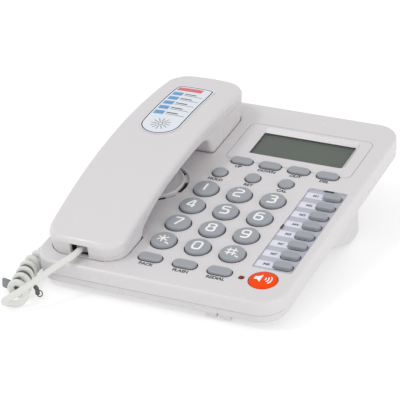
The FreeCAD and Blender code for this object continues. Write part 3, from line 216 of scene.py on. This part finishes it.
def as_mesh(curve):
    mesh = evaluated(bpy.data.objects.new("draft", curve))
    bpy.data.curves.remove(curve)
    return mesh


def finished(work):
    mesh = bpy.data.meshes.new("draft")
    work.to_mesh(mesh)
    work.free()
    return mesh


def joined(meshes):
    work = bmesh.new()
    for mesh in meshes:
        work.from_mesh(mesh)
        bpy.data.meshes.remove(mesh)
    return finished(work)


def smooth(mesh):
    mesh.polygons.foreach_set("use_smooth", [True] * len(mesh.polygons))
    return mesh


# Geometry Nodes for what repeats

CORNER_STEPS = 14


def geometry_tree(name, sizes):
    # an empty tree with named sizes and a finish
    tree = bpy.data.node_groups.new(name, "GeometryNodeTree")
    tree.interface.new_socket("Places", in_out="INPUT", socket_type="NodeSocketGeometry")
    for size in sizes:
        tree.interface.new_socket(size, in_out="INPUT", socket_type="NodeSocketFloat")
    tree.interface.new_socket("Finish", in_out="INPUT", socket_type="NodeSocketMaterial")
    tree.interface.new_socket("Pieces", in_out="OUTPUT", socket_type="NodeSocketGeometry")
    return tree, add(tree, "NodeGroupInput").outputs


def repeat(tree, given, shape, turn=None):
    # one copy of the shape at each place
    links = [("Points", given["Places"]), ("Instance", shape)] + ([("Rotation", turn)] if turn else [])
    copies = add(tree, "GeometryNodeInstanceOnPoints", links)
    real = add(tree, "GeometryNodeRealizeInstances", [(0, copies.outputs[0])])
    ready = add(tree, "GeometryNodeSetMaterial", [
        ("Geometry", real.outputs[0]), ("Material", given["Finish"])])
    add(tree, "NodeGroupOutput", [("Pieces", ready.outputs[0])])
    return tree


def swept(tree, given, path, caps=False):
    # a square bead along a path
    bead = add(tree, "GeometryNodeCurvePrimitiveQuadrilateral", [
        ("Width", given["Bead"]), ("Height", given["Bead"])])
    return add(tree, "GeometryNodeCurveToMesh", [
        ("Curve", path.outputs[0]), ("Profile Curve", bead.outputs[0]), ("Fill Caps", caps)]).outputs[0]


def ring_tree():
    # a bead round a rounded oblong
    tree, given = geometry_tree("bead_round_oblong", ("Length", "Width", "Corner", "Bead"))
    wide = add(tree, "ShaderNodeMath", [(0, given["Length"]), (1, given["Bead"])])
    deep = add(tree, "ShaderNodeMath", [(0, given["Width"]), (1, given["Bead"])])
    path = add(tree, "GeometryNodeCurvePrimitiveQuadrilateral", [
        ("Width", wide.outputs[0]), ("Height", deep.outputs[0])])
    path = add(tree, "GeometryNodeFilletCurve", [
        ("Curve", path.outputs[0]), ("Radius", given["Corner"]), ("Count", CORNER_STEPS)], mode="POLY")
    return repeat(tree, given, swept(tree, given, path))


def slot_tree():
    # arcs of equal length, each turned on by one step
    tree, given = geometry_tree("arcs_round_centre", ("Radius", "Start", "Sweep", "Step", "Bead"))
    path = add(tree, "GeometryNodeCurveArc", [
        ("Radius", given["Radius"]), ("Start Angle", given["Start"]), ("Sweep Angle", given["Sweep"])])
    count = add(tree, "GeometryNodeInputIndex")
    angle = add(tree, "ShaderNodeMath", [(0, count.outputs[0]), (1, given["Step"])], operation="MULTIPLY")
    turn = add(tree, "ShaderNodeCombineXYZ", [("Z", angle.outputs[0])])
    return repeat(tree, given, swept(tree, given, path, caps=True), turn.outputs[0])


def tab_tree():
    # flat tabs
    tree, given = geometry_tree("tabs", ("Length", "Width", "Thickness"))
    size = add(tree, "ShaderNodeCombineXYZ", [
        ("X", given["Length"]), ("Y", given["Width"]), ("Z", given["Thickness"])])
    tab = add(tree, "GeometryNodeMeshCube", [("Size", size.outputs[0])])
    return repeat(tree, given, tab.outputs["Mesh"])


def grown(tree, places, finish, **sizes):
    # the plain mesh that a tree makes at the places, its faces turned outward
    points = bpy.data.meshes.new("places")
    points.from_pydata(places, [], [])
    obj = bpy.data.objects.new("draft", points)
    modifier = obj.modifiers.new("grow", "NODES")
    modifier.node_group = tree
    sizes["Finish"] = finish
    for item in tree.interface.items_tree:
        if item.in_out == "INPUT" and item.name in sizes:
            modifier[item.identifier] = sizes[item.name]
    mesh = evaluated(obj)
    bpy.data.meshes.remove(points)
    work = bmesh.new()
    work.from_mesh(mesh)
    bmesh.ops.recalc_face_normals(work, faces=work.faces[:])
    work.to_mesh(mesh)
    work.free()
    return mesh


# Thin shapes laid on the deck, on crowned keys or on the handset's back

INK_BOLD, INK_T = 0.04, 0.02
STROKE_STEP, STROKE_SIDES, STROKE_FLAT = 0.1, 2, 0.06
CORNER_CUTS, CORNER_SHARE = (0.1, 0.05), 0.25


def flat(lift=0.0):
    # height of a plane over the deck
    return lambda x, y: lift


def settle(mesh, height):
    # deck millimetres to world metres, each point raised by the surface under it
    for v in mesh.vertices:
        v.co.z += height(v.co.x, v.co.y)
    mesh.transform(DECK @ Matrix.Scale(MM, 4))
    return mesh


def block(x0, x1, y0, y1, z0, z1):
    work = bmesh.new()
    middle = Matrix.Translation(((x0 + x1) / 2, (y0 + y1) / 2, (z0 + z1) / 2))
    size = Matrix.Diagonal((x1 - x0, y1 - y0, z1 - z0, 1))
    bmesh.ops.create_cube(work, size=1.0, matrix=middle @ size)
    return finished(work)


def words(text, size, x, y):
    data = bpy.data.curves.new("words", "FONT")
    data.body = text
    data.size = size
    data.align_x = "CENTER"
    data.align_y = "CENTER"
    data.offset = INK_BOLD * size
    data.extrude = INK_T
    mesh = as_mesh(data)
    mesh.transform(Matrix.Translation((x, y, 0)))
    return mesh


def softened(points, closed, cut):
    # each corner cut off a little
    n = len(points)
    places = []
    for i, (u, v) in enumerate(points):
        if not closed and i in (0, n - 1):
            places.append((u, v))
            continue
        for a, b in (points[i - 1], points[(i + 1) % n]):
            share = min(CORNER_SHARE, cut / math.dist((a, b), (u, v)))
            places.append((u + (a - u) * share, v + (b - v) * share))
    return places


def stepped(points, closed):
    # the rounded corners of a stroke with short steps between them, so that it can follow a crown
    for cut in CORNER_CUTS:
        points = softened(points, closed, cut)
    places = [points[0]]
    for a, b in zip(points, points[1:] + points[:1] * closed):
        count = max(1, round(math.dist(a, b) / STROKE_STEP))
        places += [(a[0] + (b[0] - a[0]) * i / count, a[1] + (b[1] - a[1]) * i / count)
                   for i in range(1, count + 1)]
    return places[:-1] if closed else places


def strokes(lines, width, x, y, wide, tall):
    # flat strokes through points of a unit box
    data = bpy.data.curves.new("strokes", "CURVE")
    data.dimensions = "3D"
    data.bevel_depth = width / 2
    data.bevel_resolution = STROKE_SIDES
    data.use_fill_caps = True
    for corners, closed in lines:
        points = stepped(corners, closed)
        spline = data.splines.new("POLY")
        spline.points.add(len(points) - 1)
        for point, (u, v) in zip(spline.points, points):
            point.co = (x + (u - 0.5) * wide, y + (v - 0.5) * tall, 0, 1)
        spline.use_cyclic_u = closed
    mesh = as_mesh(data)
    for v in mesh.vertices:
        v.co.z *= STROKE_FLAT
    return mesh


def patch(x0, x1, y0, y1, steps=12):
    # a small sheet, divided so that it follows a crown
    mesh = bpy.data.meshes.new("patch")
    points = []
    faces = []
    for j in range(steps + 1):
        for i in range(steps + 1):
            points.append((x0 + (x1 - x0) * i / steps, y0 + (y1 - y0) * j / steps, 0))
    for j in range(steps):
        for i in range(steps):
            a = j * (steps + 1) + i
            faces.append((a, a + 1, a + steps + 2, a + steps + 1))
    mesh.from_pydata(points, [], faces)
    return mesh


def on_circle(radius, angle):
    # a point of a unit box, from its middle
    return 0.5 + radius * math.cos(math.radians(angle)), 0.5 + radius * math.sin(math.radians(angle))


def crown(x, y, radius, proud, rise):
    # height of a crowned key's top
    edge = radius - KEY_ROUND
    ball = (edge ** 2 + rise ** 2) / (2 * rise)
    return lambda u, v: proud - ball + math.sqrt(ball ** 2 - min(edge ** 2, (u - x) ** 2 + (v - y) ** 2))


# Digits of the dial: straight strokes with rounded corners, as points of a unit box and whether they close

DIGITS = {
    "1": [([(0.5, 0), (0.5, 1)], False)],
    "2": [([(0, 1), (0.8, 1), (1, 0.87), (1, 0.66), (0.8, 0.54), (0.2, 0.5), (0, 0.36), (0, 0),
            (1, 0)], False)],
    "3": [([(0, 1), (0.8, 1), (1, 0.87), (1, 0.65), (0.82, 0.53), (0.35, 0.53)], False),
          ([(0.82, 0.53), (1, 0.41), (1, 0.13), (0.8, 0), (0, 0)], False)],
    "4": [([(0.74, 0), (0.74, 1), (0.56, 1), (0, 0.36), (0, 0.27), (1, 0.27)], False)],
    "5": [([(1, 1), (0.04, 1), (0.04, 0.57), (0.8, 0.57), (1, 0.45), (1, 0.13), (0.8, 0), (0, 0)], False)],
    "6": [([(0.95, 1), (0.25, 1), (0, 0.8), (0, 0.13), (0.2, 0), (0.8, 0), (1, 0.13), (1, 0.43), (0.8, 0.56),
            (0, 0.56)], False)],
    "7": [([(0, 1), (1, 1), (1, 0.88), (0.4, 0)], False)],
    "8": [([(0.2, 1), (0.8, 1), (0.97, 0.88), (0.97, 0.67), (0.8, 0.55), (0.2, 0.55), (0.03, 0.67),
            (0.03, 0.88)], True),
          ([(0.2, 0.55), (0.8, 0.55), (1, 0.42), (1, 0.13), (0.8, 0), (0.2, 0), (0, 0.13), (0, 0.42)], True)],
    "9": [([(0.05, 0), (0.75, 0), (1, 0.2), (1, 0.87), (0.8, 1), (0.2, 1), (0, 0.87), (0, 0.57), (0.2, 0.44),
            (1, 0.44)], False)],
    "star": [([(0.46, 0.12), (0.46, 0.96)], False), ([(0.06, 0.32), (0.86, 0.76)], False),
             ([(0.06, 0.76), (0.86, 0.32)], False), ([(0.78, 0.1), (1.06, 0.1), (1.06, -0.02)], False)],
    "0": [([(0.2, 1), (0.8, 1), (1, 0.85), (1, 0.15), (0.8, 0), (0.2, 0), (0, 0.15), (0, 0.85)], True)],
    "hash": [([(0.24, 0.1), (0.24, 0.98)], False), ([(0.64, 0.1), (0.64, 0.98)], False),
             ([(0, 0.72), (0.88, 0.72)], False), ([(0, 0.36), (0.88, 0.36)], False),
             ([(0.84, 0.1), (1.1, 0.1), (1.1, -0.02)], False)],
}
# Stroke width, width and height in millimetres
DIGIT_SIZE, SIGN_SIZE = (1.35, 4.8, 7.0), (0.95, 7.8, 7.8)
DIGIT_DROP = 0.4
DIAL_COLUMNS = [DIAL_X + (i - 1) * DIAL_PITCH_X for i in range(3)]
DIAL_PLACES = [(x, DIAL_Y + (1.5 - j) * DIAL_PITCH_Y) for j in range(4) for x in DIAL_COLUMNS]


def dial_digits():
    for (legend, lines), (x, y) in zip(DIGITS.items(), DIAL_PLACES):
        width, wide, tall = SIGN_SIZE if legend in ("star", "hash") else DIGIT_SIZE
        mesh = strokes(lines, width, x, y - DIGIT_DROP, wide, tall)
        settle(mesh, crown(x, y, DIAL_KEY_R, DIAL_PROUD, KEY_CROWN))
        piece("digit_" + legend, mesh, WHITE_INK, "dial_key_" + legend)


# Loudspeaker symbol in millimetres from the key's middle: its ends, the box's half height and the cone
SYMBOL_LEFT, SYMBOL_L, SYMBOL_LIFT = -5.0, 4.2, 0.05
BOX_HALF, CONE_LEFT, CONE_L, CONE_RISE = 1.4, -3.1, 2.3, 2.0
WAVE_RADII, WAVE_ANGLES, WAVE_STROKE, WAVE_BOX = (1.8, 3.4, 5.0), range(-40, 41, 10), 0.75, 10


def speaker_symbol():
    box_and_cone = patch(0, 1, -1, 1)
    for v in box_and_cone.vertices:
        u = SYMBOL_LEFT + SYMBOL_L * v.co.x
        half = BOX_HALF + CONE_RISE * max(0.0, (u - CONE_LEFT) / CONE_L)
        v.co = (SPEAKER_X + u, SPEAKER_Y + half * v.co.y, SYMBOL_LIFT)
    waves = [([on_circle(r / WAVE_BOX, a) for a in WAVE_ANGLES], False) for r in WAVE_RADII]
    mesh = joined([box_and_cone, strokes(waves, WAVE_STROKE, SPEAKER_X, SPEAKER_Y, WAVE_BOX, WAVE_BOX)])
    settle(mesh, crown(SPEAKER_X, SPEAKER_Y, SPEAKER_R, SPEAKER_PROUD, SPEAKER_RISE))
    piece("speaker_symbol", mesh, WHITE_INK, "speaker_key")


LEGEND_SIZE, LEGEND_LIFT = 3.4, 0.03
DISPLAY_COLUMNS = [DISPLAY_ROW_X + i * DISPLAY_PITCH for i in range(4)]
LEGENDS = [(("UP", "DOWN", "OUT", "DEL"), DISPLAY_COLUMNS, 26.6), (("HOLD", "RET", "CAL"), DIAL_COLUMNS, 9.2),
           (("BACK", "FLASH", "REDIAL"), DIAL_COLUMNS, -85.4)]


def deck_legends():
    texts = [words(text, LEGEND_SIZE, x, y) for row, columns, y in LEGENDS for text, x in zip(row, columns)]
    piece("deck_legends", settle(joined(texts), flat(LEGEND_LIFT)), GREY_INK, "base")


CARD_PRINT, CARD_FACING = 0.02, 0.9
TAB_EDGE, TAB_UNDER_KEY, TAB_W, TAB_T = 0.4, 2.0, 5.8, 0.06
NUMBER_X, NUMBER_SIZE = 54.0, 3.0
MEMORY_ROWS = [MEMORY_TOP_Y - i * MEMORY_PITCH for i in range(MEMORY_COUNT)]


def card_print():
    # the card's printed face, a hair above the solid so that it stays clear of the cover's underside
    card = nodes["memory_index_card"]
    up = DECK.to_3x3() @ Vector((0, 0, 1))
    work = bmesh.new()
    work.from_mesh(card.data)
    work.transform(card.matrix_world)
    work.normal_update()
    other = [f for f in work.faces if f.normal.dot(up) < CARD_FACING]
    bmesh.ops.delete(work, geom=other, context="FACES")
    bmesh.ops.translate(work, verts=work.verts[:], vec=up * CARD_PRINT * MM)
    piece("card_print", finished(work), CARD, "base")


def memory_card():
    x0, x1 = INDEX_LEFT + TAB_EDGE, MEMORY_X - MEMORY_KEY_L / 2 + TAB_UNDER_KEY
    tabs = grown(tab_tree(), [((x0 + x1) / 2, y, CARD_TOP) for y in MEMORY_ROWS], CARD_TAB,
                 Length=x1 - x0, Width=TAB_W, Thickness=TAB_T)
    piece("card_tabs", settle(tabs, flat()), CARD_TAB, "base")
    texts = [words("M%d" % (i + 1), NUMBER_SIZE, NUMBER_X, y) for i, y in enumerate(MEMORY_ROWS)]
    piece("card_numbers", settle(joined(texts), flat(CARD_TOP + TAB_T)), CARD_INK, "base")


SLOT_COUNT, SLOT_R, SLOT_START, SLOT_SWEEP, SLOT_W = 6, 19.4, -14, 30, 1.5
SLOT_FLAT = 0.6


# painted shade: black arcs on the moat floor standing in for the dark of open slots
def grille_slot_shade():
    slots = grown(slot_tree(), [(GRILLE_X, GRILLE_Y, MOAT_FLOOR)] * SLOT_COUNT, SLOT_SHADE, Radius=SLOT_R,
                  Start=math.radians(SLOT_START), Sweep=math.radians(SLOT_SWEEP),
                  Step=math.radians(360 / SLOT_COUNT), Bead=SLOT_W)
    for v in slots.vertices:
        v.co.z = MOAT_FLOOR + (v.co.z - MOAT_FLOOR) * SLOT_FLAT
    piece("grille_slot_shade", settle(slots, flat()), SLOT_SHADE, "base")


# Dark rings of painted shade in the key gaps: their height, clearance from the key and bead; the bead of
# painted shade along the seam
GAP_Z, GAP_CLEAR, GAP_BEAD, SEAM_BEAD = -0.28, 0.06, 0.62, 0.4
# The cover's pry notches, with blocks of painted shade in them: along the back edge and along the left edge,
# their width and their heights
BACK_NOTCH, LEFT_NOTCH = (56.8, 62.9), (-27.4, -23.2)
NOTCH_NEAR, NOTCH_FAR, NOTCH_Z = 0.2, 1.0, (-0.35, -0.02)


def painted_key_gap_shade():
    # painted shade: a dark ring round each key, in its gap, standing in for the gap's shadow
    kinds = [(DIAL_PLACES, 2 * DIAL_KEY_R, 2 * DIAL_KEY_R, 0.0),
             ([(x, FUNCTION_ROW_Y) for x in DIAL_COLUMNS], 2 * FUNCTION_KEY_R, 2 * FUNCTION_KEY_R, 0.0),
             ([(x, BOTTOM_ROW_Y) for x in DIAL_COLUMNS], BOTTOM_KEY_L, BOTTOM_KEY_W, 0.0),
             ([(x, DISPLAY_ROW_Y) for x in DISPLAY_COLUMNS], DISPLAY_KEY_L, DISPLAY_KEY_W, 0.0),
             ([(MEMORY_X, y) for y in MEMORY_ROWS], MEMORY_KEY_L, MEMORY_KEY_W, CARD_TOP)]
    tree = ring_tree()
    shade_rings = []
    for places, length, width, floor in kinds:
        places = [(x, y, GAP_Z + floor) for x, y in places]
        shade_rings.append(grown(tree, places, PAINTED_GAP_SHADE, Length=length + 2 * GAP_CLEAR, Width=width + 2 * GAP_CLEAR,
                          Corner=(width + GAP_BEAD) / 2 + GAP_CLEAR, Bead=GAP_BEAD))
    piece("painted_key_gap_shade", settle(joined(shade_rings), flat()), PAINTED_GAP_SHADE, "base")
    # painted shade: a dark bead along the case seam
    inset = 2 * SEAM_STEP + SEAM_BEAD
    shade = grown(tree, [(0, 0, -TOP_H - SEAM_BEAD / 2)], SEAM, Length=BASE_W - inset, Width=BASE_D - inset,
                  Corner=BASE_CORNER_R - SEAM_STEP, Bead=SEAM_BEAD)
    piece("case_seam_shade", settle(shade, flat()), SEAM, "base")
    # painted shade: dark blocks in the cover's pry notches
    notch_shades = [block(*BACK_NOTCH, INDEX_BACK - NOTCH_FAR, INDEX_BACK - NOTCH_NEAR, *NOTCH_Z),
               block(INDEX_LEFT + NOTCH_NEAR, INDEX_LEFT + NOTCH_FAR, *LEFT_NOTCH, *NOTCH_Z)]
    piece("pry_notch_shade", settle(joined(notch_shades), flat()), PAINTED_GAP_SHADE, "base")


# The label on the handset's back: a ruled name list of our own design

LABEL_LIFT = 0.03
# The frame line: half width as a share of the label's, its round front end's middle and height, back corners
FRAME_HALF, FRAME_END_Y, FRAME_END_R, FRAME_ANGLES = 0.46, 13.0, 12.0, range(0, 181, 12)
FRAME_CORNERS, FRAME_STROKE = [(0.96, 0.955), (0.9, 0.98), (0.1, 0.98), (0.04, 0.955)], 0.7
# The sun: box and place in millimetres, rays and hub as shares of the box
SUN_BOX, SUN_Y, SUN_STROKE, SUN_ANGLES = 15, 11.5, 0.4, range(0, 360, 30)
RAY_FROM, RAY_TO, HUB_R = 0.16, 0.42, 0.1
# Fields: left and right from the label's left edge, front and back from its back edge
NAME_ROWS, NAME_PITCH = range(5), 6.6
RULE, NAME = (10.5, 22.8, 14.2, 13.8), (10.5, 18.0, 12.6, 11.6)
TAB, HEADER = (2.6, 9.2, 15.0, 10.6), (2.6, 19.0, 7.8, 3.2)


def back_height(lift):
    # height of the handset's back: an arch through three points, crowned across
    (ya, za), (yb, zb), (yc, zc) = BACK
    d = 2 * (ya * (zb - zc) + yb * (zc - za) + yc * (za - zb))
    a, b, c = ya * ya + za * za, yb * yb + zb * zb, yc * yc + zc * zc
    cy = (a * (zb - zc) + b * (zc - za) + c * (za - zb)) / d
    cz = (a * (yc - yb) + b * (ya - yc) + c * (yb - ya)) / d
    radius = math.hypot(ya - cy, za - cz) + lift

    def height(x, y):
        across = radius - BACK_CROWN_R + math.sqrt(BACK_CROWN_R ** 2 - (x - HAND_X) ** 2)
        return cz + math.sqrt(across ** 2 - (y - cy) ** 2)
    return height


def field(box, row=0):
    x0, x1, y0, y1 = box
    left, back = HAND_X - LABEL_W / 2, LABEL_BACK - NAME_PITCH * row
    return patch(left + x0, left + x1, back - y0, back - y1)


def label_print():
    tall = LABEL_BACK - LABEL_FRONT
    end = []
    for a in FRAME_ANGLES:
        u, v = math.cos(math.radians(a)), math.sin(math.radians(a))
        end.append((0.5 - FRAME_HALF * u, (FRAME_END_Y - FRAME_END_R * v) / tall))
    outline = strokes([(end + FRAME_CORNERS, True)], FRAME_STROKE, HAND_X, (LABEL_FRONT + LABEL_BACK) / 2,
                      LABEL_W, tall)
    rays = [([on_circle(RAY_FROM, a), on_circle(RAY_TO, a)], False) for a in SUN_ANGLES]
    hub = [on_circle(HUB_R, a) for a in SUN_ANGLES]
    sun = strokes(rays + [(hub, True)], SUN_STROKE, HAND_X, LABEL_FRONT + SUN_Y, SUN_BOX, SUN_BOX)
    rules = [field(RULE, row) for row in NAME_ROWS]
    names = [field(NAME, row) for row in NAME_ROWS]
    tabs = [field(TAB, row) for row in NAME_ROWS]
    top = back_height(LABEL_TOP + LABEL_LIFT)
    piece("label_header", settle(field(HEADER), top), LABEL_RED, "handset")
    piece("label_tabs", settle(joined(tabs), top), LABEL_BLUE, "handset")
    piece("label_rules", settle(joined([outline, sun] + rules + names), top), DARK_INK, "handset")


# Cord: the route's points, millimetres on the desk before the telephone is centred, and its ends on the deck

COIL_AXIS = [(-69.5, -126.5, 7.6), (-77.2, -104.0, 6.4), (-82.6, -88.0, 6.1), (-82.2, -72.0, 6.1),
             (-77.0, -42.0, 6.1), (-76.8, 20.0, 6.1), (-82.6, 118.0, 6.1)]
HAND_LEAD = [(-52.4, -103.9, 21.2), (-57.6, -116.2, 17.5), (-62.6, -126.5, 14.0), (-66.0, -130.3, 11.6)]
FOLD = [(-69.5, -134.2, 9.1), (-73.2, -134.0, 6.6), (-73.9, -131.3, 3.5), (-72.0, -127.9, 2.6)]
BASE_LEAD = [(-79.3, 122.4, 27.5), (-73.5, 125.3, 36.0), (-63.5, 126.0, 42.5), (-55.0, 121.0, 45.8)]
HAND_EXIT, HAND_RUN = (-48.2, -87.2, 4.6), (-48.2, -95.2, 4.6)
BASE_EXIT, BASE_RUN = (-52.0, 103.6, -7.2), (-52.0, 111.6, -7.2)
COIL_RISE = (3.8, 12.2)
CURL_R, CURLS = 3.8, 49.25
LOOSE_LENGTH, LOOSE_CURLS = 38.0, 4.5
SPREAD, SPREAD_CURLS = 1.8, 1.6
POINTS_PER_CURL = 12
CORD_SIDES, LEAD_STEPS, COIL_STEPS, TAIL_STEPS, AXIS_STEPS = 4, 16, 3, 8, 24
# Twist tie: its turns among the curls, wire, tab, tail and eye
TIE_FROM, TIE_TO, TIE_LAG, TIE_WIRE_R = 1.0, 3.2, 0.5, 1.1
TIE_TAB, TIE_TAB_SIZE, TIE_TAB_TURN = (-84.2, -111.2, 4.8), (7.2, 1.8, 6.2), -12
TIE_TAB_ROUND, TIE_TAB_STEPS = 0.85, 4
TIE_TAIL, TIE_TAIL_R = [(-67.5, -108.5, 5.0), (-65.0, -110.0, 4.6), (-63.8, -112.6, 3.2)], 1.3
TIE_EYE, TIE_EYE_R, TIE_EYE_WIRE_R, TIE_EYE_TILT = (-62.8, -111.8, 3.2), 1.7, 0.32, 70


def desk(point):
    return Vector((point[0], point[1] - MIDDLE_Y, point[2])) * MM


def on_deck(point):
    return DECK @ (Vector(point) * MM)


def nurbs(points, bevel, resolution):
    data = bpy.data.curves.new("route", "CURVE")
    data.dimensions = "3D"
    data.bevel_depth = bevel
    data.bevel_resolution = CORD_SIDES
    data.use_fill_caps = bevel > 0
    data.resolution_u = resolution
    spline = data.splines.new("NURBS")
    spline.points.add(len(points) - 1)
    for p, place in zip(spline.points, points):
        p.co = (*place, 1)
    spline.order_u = 3
    spline.use_endpoint_u = True
    return as_mesh(data)


def line_points(points, resolution=AXIS_STEPS):
    # points along the middle of a route
    mesh = nurbs(points, 0.0, resolution)
    places = [v.co.copy() for v in mesh.vertices]
    bpy.data.meshes.remove(mesh)
    return places


def loosened(turns):
    # extra length along the axis of the first turns, which lie apart by the fold
    return LOOSE_LENGTH * (1 - math.exp(-turns / LOOSE_CURLS))


def helix(begin, end, lag=0.0):
    # curls round the coil's axis from its underside in front, wider where they lie loose by the fold;
    # a lag of half a turn runs between the curls
    axis = line_points([desk(p) for p in COIL_AXIS])
    runs = [0.0]
    for a, b in zip(axis, axis[1:]):
        runs.append(runs[-1] + (b - a).length)
    count = int((end - begin) * POINTS_PER_CURL)
    places = []
    k = 0
    for i in range(count + 1):
        t = begin + (end - begin) * i / count
        s = (runs[-1] - MM * loosened(CURLS)) * t / CURLS + MM * loosened(t)
        while k < len(axis) - 2 and runs[k + 1] < s:
            k += 1
        ahead = (axis[k + 1] - axis[k]).normalized()
        centre = axis[k] + ahead * (s - runs[k])
        right = ahead.cross(Vector((0, 0, 1))).normalized()
        up = right.cross(ahead)
        turn = -math.pi / 2 + 2 * math.pi * (t + lag)
        radius = (CURL_R + SPREAD * math.exp(-t / SPREAD_CURLS)) * MM
        places.append(centre + (right * math.cos(turn) + up * math.sin(turn)) * radius)
    return places


def cords():
    hand = [on_deck(HAND_EXIT), on_deck(HAND_RUN)] + [desk(p) for p in HAND_LEAD]
    lead = piece("handset_lead_cord", smooth(nurbs(hand, WIRE_R * MM, LEAD_STEPS)), CORD, None)
    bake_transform(lead)
    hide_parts("handset_lead")
    line_points(hand)

    curls = helix(0.0, CURLS)
    last = (curls[-1] - curls[-2]).normalized()
    fold = [hand[-1]] + [desk(p) for p in FOLD]
    back = [curls[-1] + last * rise * MM for rise in COIL_RISE] + [desk(p) for p in BASE_LEAD]
    route = fold + curls + back + [on_deck(BASE_RUN), on_deck(BASE_EXIT)]
    coil = piece("curly_cord_coil", smooth(nurbs(route, WIRE_R * MM, COIL_STEPS)), CORD, "base")
    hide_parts("curly_cord", "base_lead")
    line_points(route, COIL_STEPS)


def eye_ring(radius, wire_r, count=32, sides=12):
    # a round wire ring about the vertical
    mesh = bpy.data.meshes.new("ring")
    turns = [2 * math.pi * i / sides for i in range(sides)]
    profile = [(radius + wire_r * math.cos(t), wire_r * math.sin(t)) for t in turns]
    points = []
    faces = []
    for j in range(count):
        t = 2 * math.pi * j / count
        points += [(r * math.cos(t), r * math.sin(t), h) for r, h in profile]
        k = (j + 1) % count
        faces += [(j * sides + i, k * sides + i, k * sides + (i + 1) % sides, j * sides + (i + 1) % sides)
                  for i in range(sides)]
    mesh.from_pydata(points, [], faces)
    return mesh


def turned(mesh, place, angle, axis):
    # millimetres about the origin to a place on the desk
    turn = Matrix.Rotation(math.radians(angle), 4, axis)
    mesh.transform(Matrix.Translation(desk(place)) @ turn @ Matrix.Scale(MM, 4))
    return smooth(mesh)


def twist_tie():
    # a dark wire wound between the first curls, with a grey tab on one end and an eye on the other
    wire = helix(TIE_FROM, TIE_TO, TIE_LAG)
    band = piece("tie_band", smooth(nurbs(wire, TIE_WIRE_R * MM, COIL_STEPS)), TIE_DARK, "base")
    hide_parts("twist_tie")
    work = bmesh.new()
    bmesh.ops.create_cube(work, size=1.0, matrix=Matrix.Diagonal((*TIE_TAB_SIZE, 1)))
    bmesh.ops.bevel(work, geom=work.edges[:], offset=TIE_TAB_ROUND, segments=TIE_TAB_STEPS, affect="EDGES")
    piece("tie_tab", turned(finished(work), TIE_TAB, TIE_TAB_TURN, "Z"), TIE_GREY, "base")
    tail = nurbs([desk(p) for p in TIE_TAIL], TIE_TAIL_R * MM, TAIL_STEPS)
    piece("tie_tail", smooth(tail), TIE_DARK, "base")
    eye = turned(eye_ring(TIE_EYE_R, TIE_EYE_WIRE_R), TIE_EYE, TIE_EYE_TILT, "X")
    piece("tie_eye", eye, TIE_DARK, "base")


dial_digits()
speaker_symbol()
deck_legends()
card_print()
memory_card()
grille_slot_shade()
painted_key_gap_shade()
label_print()
cords()
twist_tie()


# Camera at the photo's view, white table and soft light, metres

CAMERA_PLACE = (0.44675, -0.98538, 0.50688)
CAMERA_RIGHT, CAMERA_UP = Vector((0.90953, 0.41564, 0.0)), Vector((-0.17270, 0.37791, 0.90959))
CAMERA_LENS, CAMERA_SENSOR, CAMERA_SHIFT, CAMERA_FAR = 180.0, 36.0, (-0.0476, 0.0543), 20.0
AIM = Vector((0, 0, 0.03))
# Name, place, width and power of each light
LIGHTS = (("key_light", (-0.7, -0.6, 1.3), 0.32, 3.8), ("left_light", (-1.4, 0.1, 0.6), 0.8, 1.4),
          ("fill_light", (1.4, -0.4, 0.35), 0.9, 4.4), ("front_light", (0.1, -1.5, 0.3), 0.8, 1.0))
WORLD_LIGHT = 0.78
TABLE_HALF, TABLE_ROUGH, TABLE_GLOW, TABLE_SHADE = 6, 0.9, 0.58, 0.5
WHITE = (1, 1, 1, 1)


def camera():
    data = bpy.data.cameras.new("photo_camera")
    data.lens = CAMERA_LENS
    data.sensor_width = CAMERA_SENSOR
    data.shift_x, data.shift_y = CAMERA_SHIFT
    data.clip_end = CAMERA_FAR
    turn = Matrix((CAMERA_RIGHT, CAMERA_UP, CAMERA_RIGHT.cross(CAMERA_UP))).transposed().to_4x4()
    obj = bpy.data.objects.new("photo_camera", data)
    obj.matrix_world = Matrix.Translation(CAMERA_PLACE) @ turn
    scene.collection.objects.link(obj)
    scene.camera = obj


def area_light(name, place, size, power):
    data = bpy.data.lights.new(name, "AREA")
    data.shape = "DISK"
    data.size = size
    data.energy = power
    obj = bpy.data.objects.new(name, data)
    turn = (AIM - Vector(place)).to_track_quat("-Z", "Y").to_matrix().to_4x4()
    obj.matrix_world = Matrix.Translation(place) @ turn
    scene.collection.objects.link(obj)


def table():
    # white to the eye, with a light shadow; other light meets a plain white surface
    h = TABLE_HALF
    mesh = bpy.data.meshes.new("table")
    mesh.from_pydata([(-h, -h, 0), (h, -h, 0), (h, h, 0), (-h, h, 0)], [], [(0, 1, 2, 3)])
    white = bpy.data.materials.new("white_table")
    white.use_nodes = True
    tree = white.node_tree
    shader = tree.nodes["Principled BSDF"]
    shader.inputs["Roughness"].default_value = TABLE_ROUGH
    shader.inputs["Specular IOR Level"].default_value = 0.0
    shader.inputs["Emission Color"].default_value = WHITE
    path = add(tree, "ShaderNodeLightPath").outputs
    seen = add(tree, "ShaderNodeMath", [(0, path["Is Camera Ray"]), (1, path["Is Glossy Ray"])])
    seen = add(tree, "ShaderNodeMath", [(0, seen.outputs[0]), (1, path["Is Transmission Ray"])],
               use_clamp=True)
    glow = add(tree, "ShaderNodeMath", [(0, seen.outputs[0]), (1, TABLE_GLOW)], operation="MULTIPLY")
    tree.links.new(glow.outputs[0], shader.inputs["Emission Strength"])
    shade = add(tree, "ShaderNodeMath", [(0, seen.outputs[0]), (1, -TABLE_SHADE), (2, 1.0)],
                operation="MULTIPLY_ADD")
    tree.links.new(shade.outputs[0], shader.inputs["Base Color"])
    mesh.materials.append(white)
    obj = bpy.data.objects.new("table", mesh)
    scene.collection.objects.link(obj)


camera()
table()
for light in LIGHTS:
    area_light(*light)
world = bpy.data.worlds.new("studio")
world.use_nodes = True
background = world.node_tree.nodes["Background"]
background.inputs["Color"].default_value = WHITE
background.inputs["Strength"].default_value = WORLD_LIGHT
scene.world = world
scene.view_settings.view_transform = "Standard"
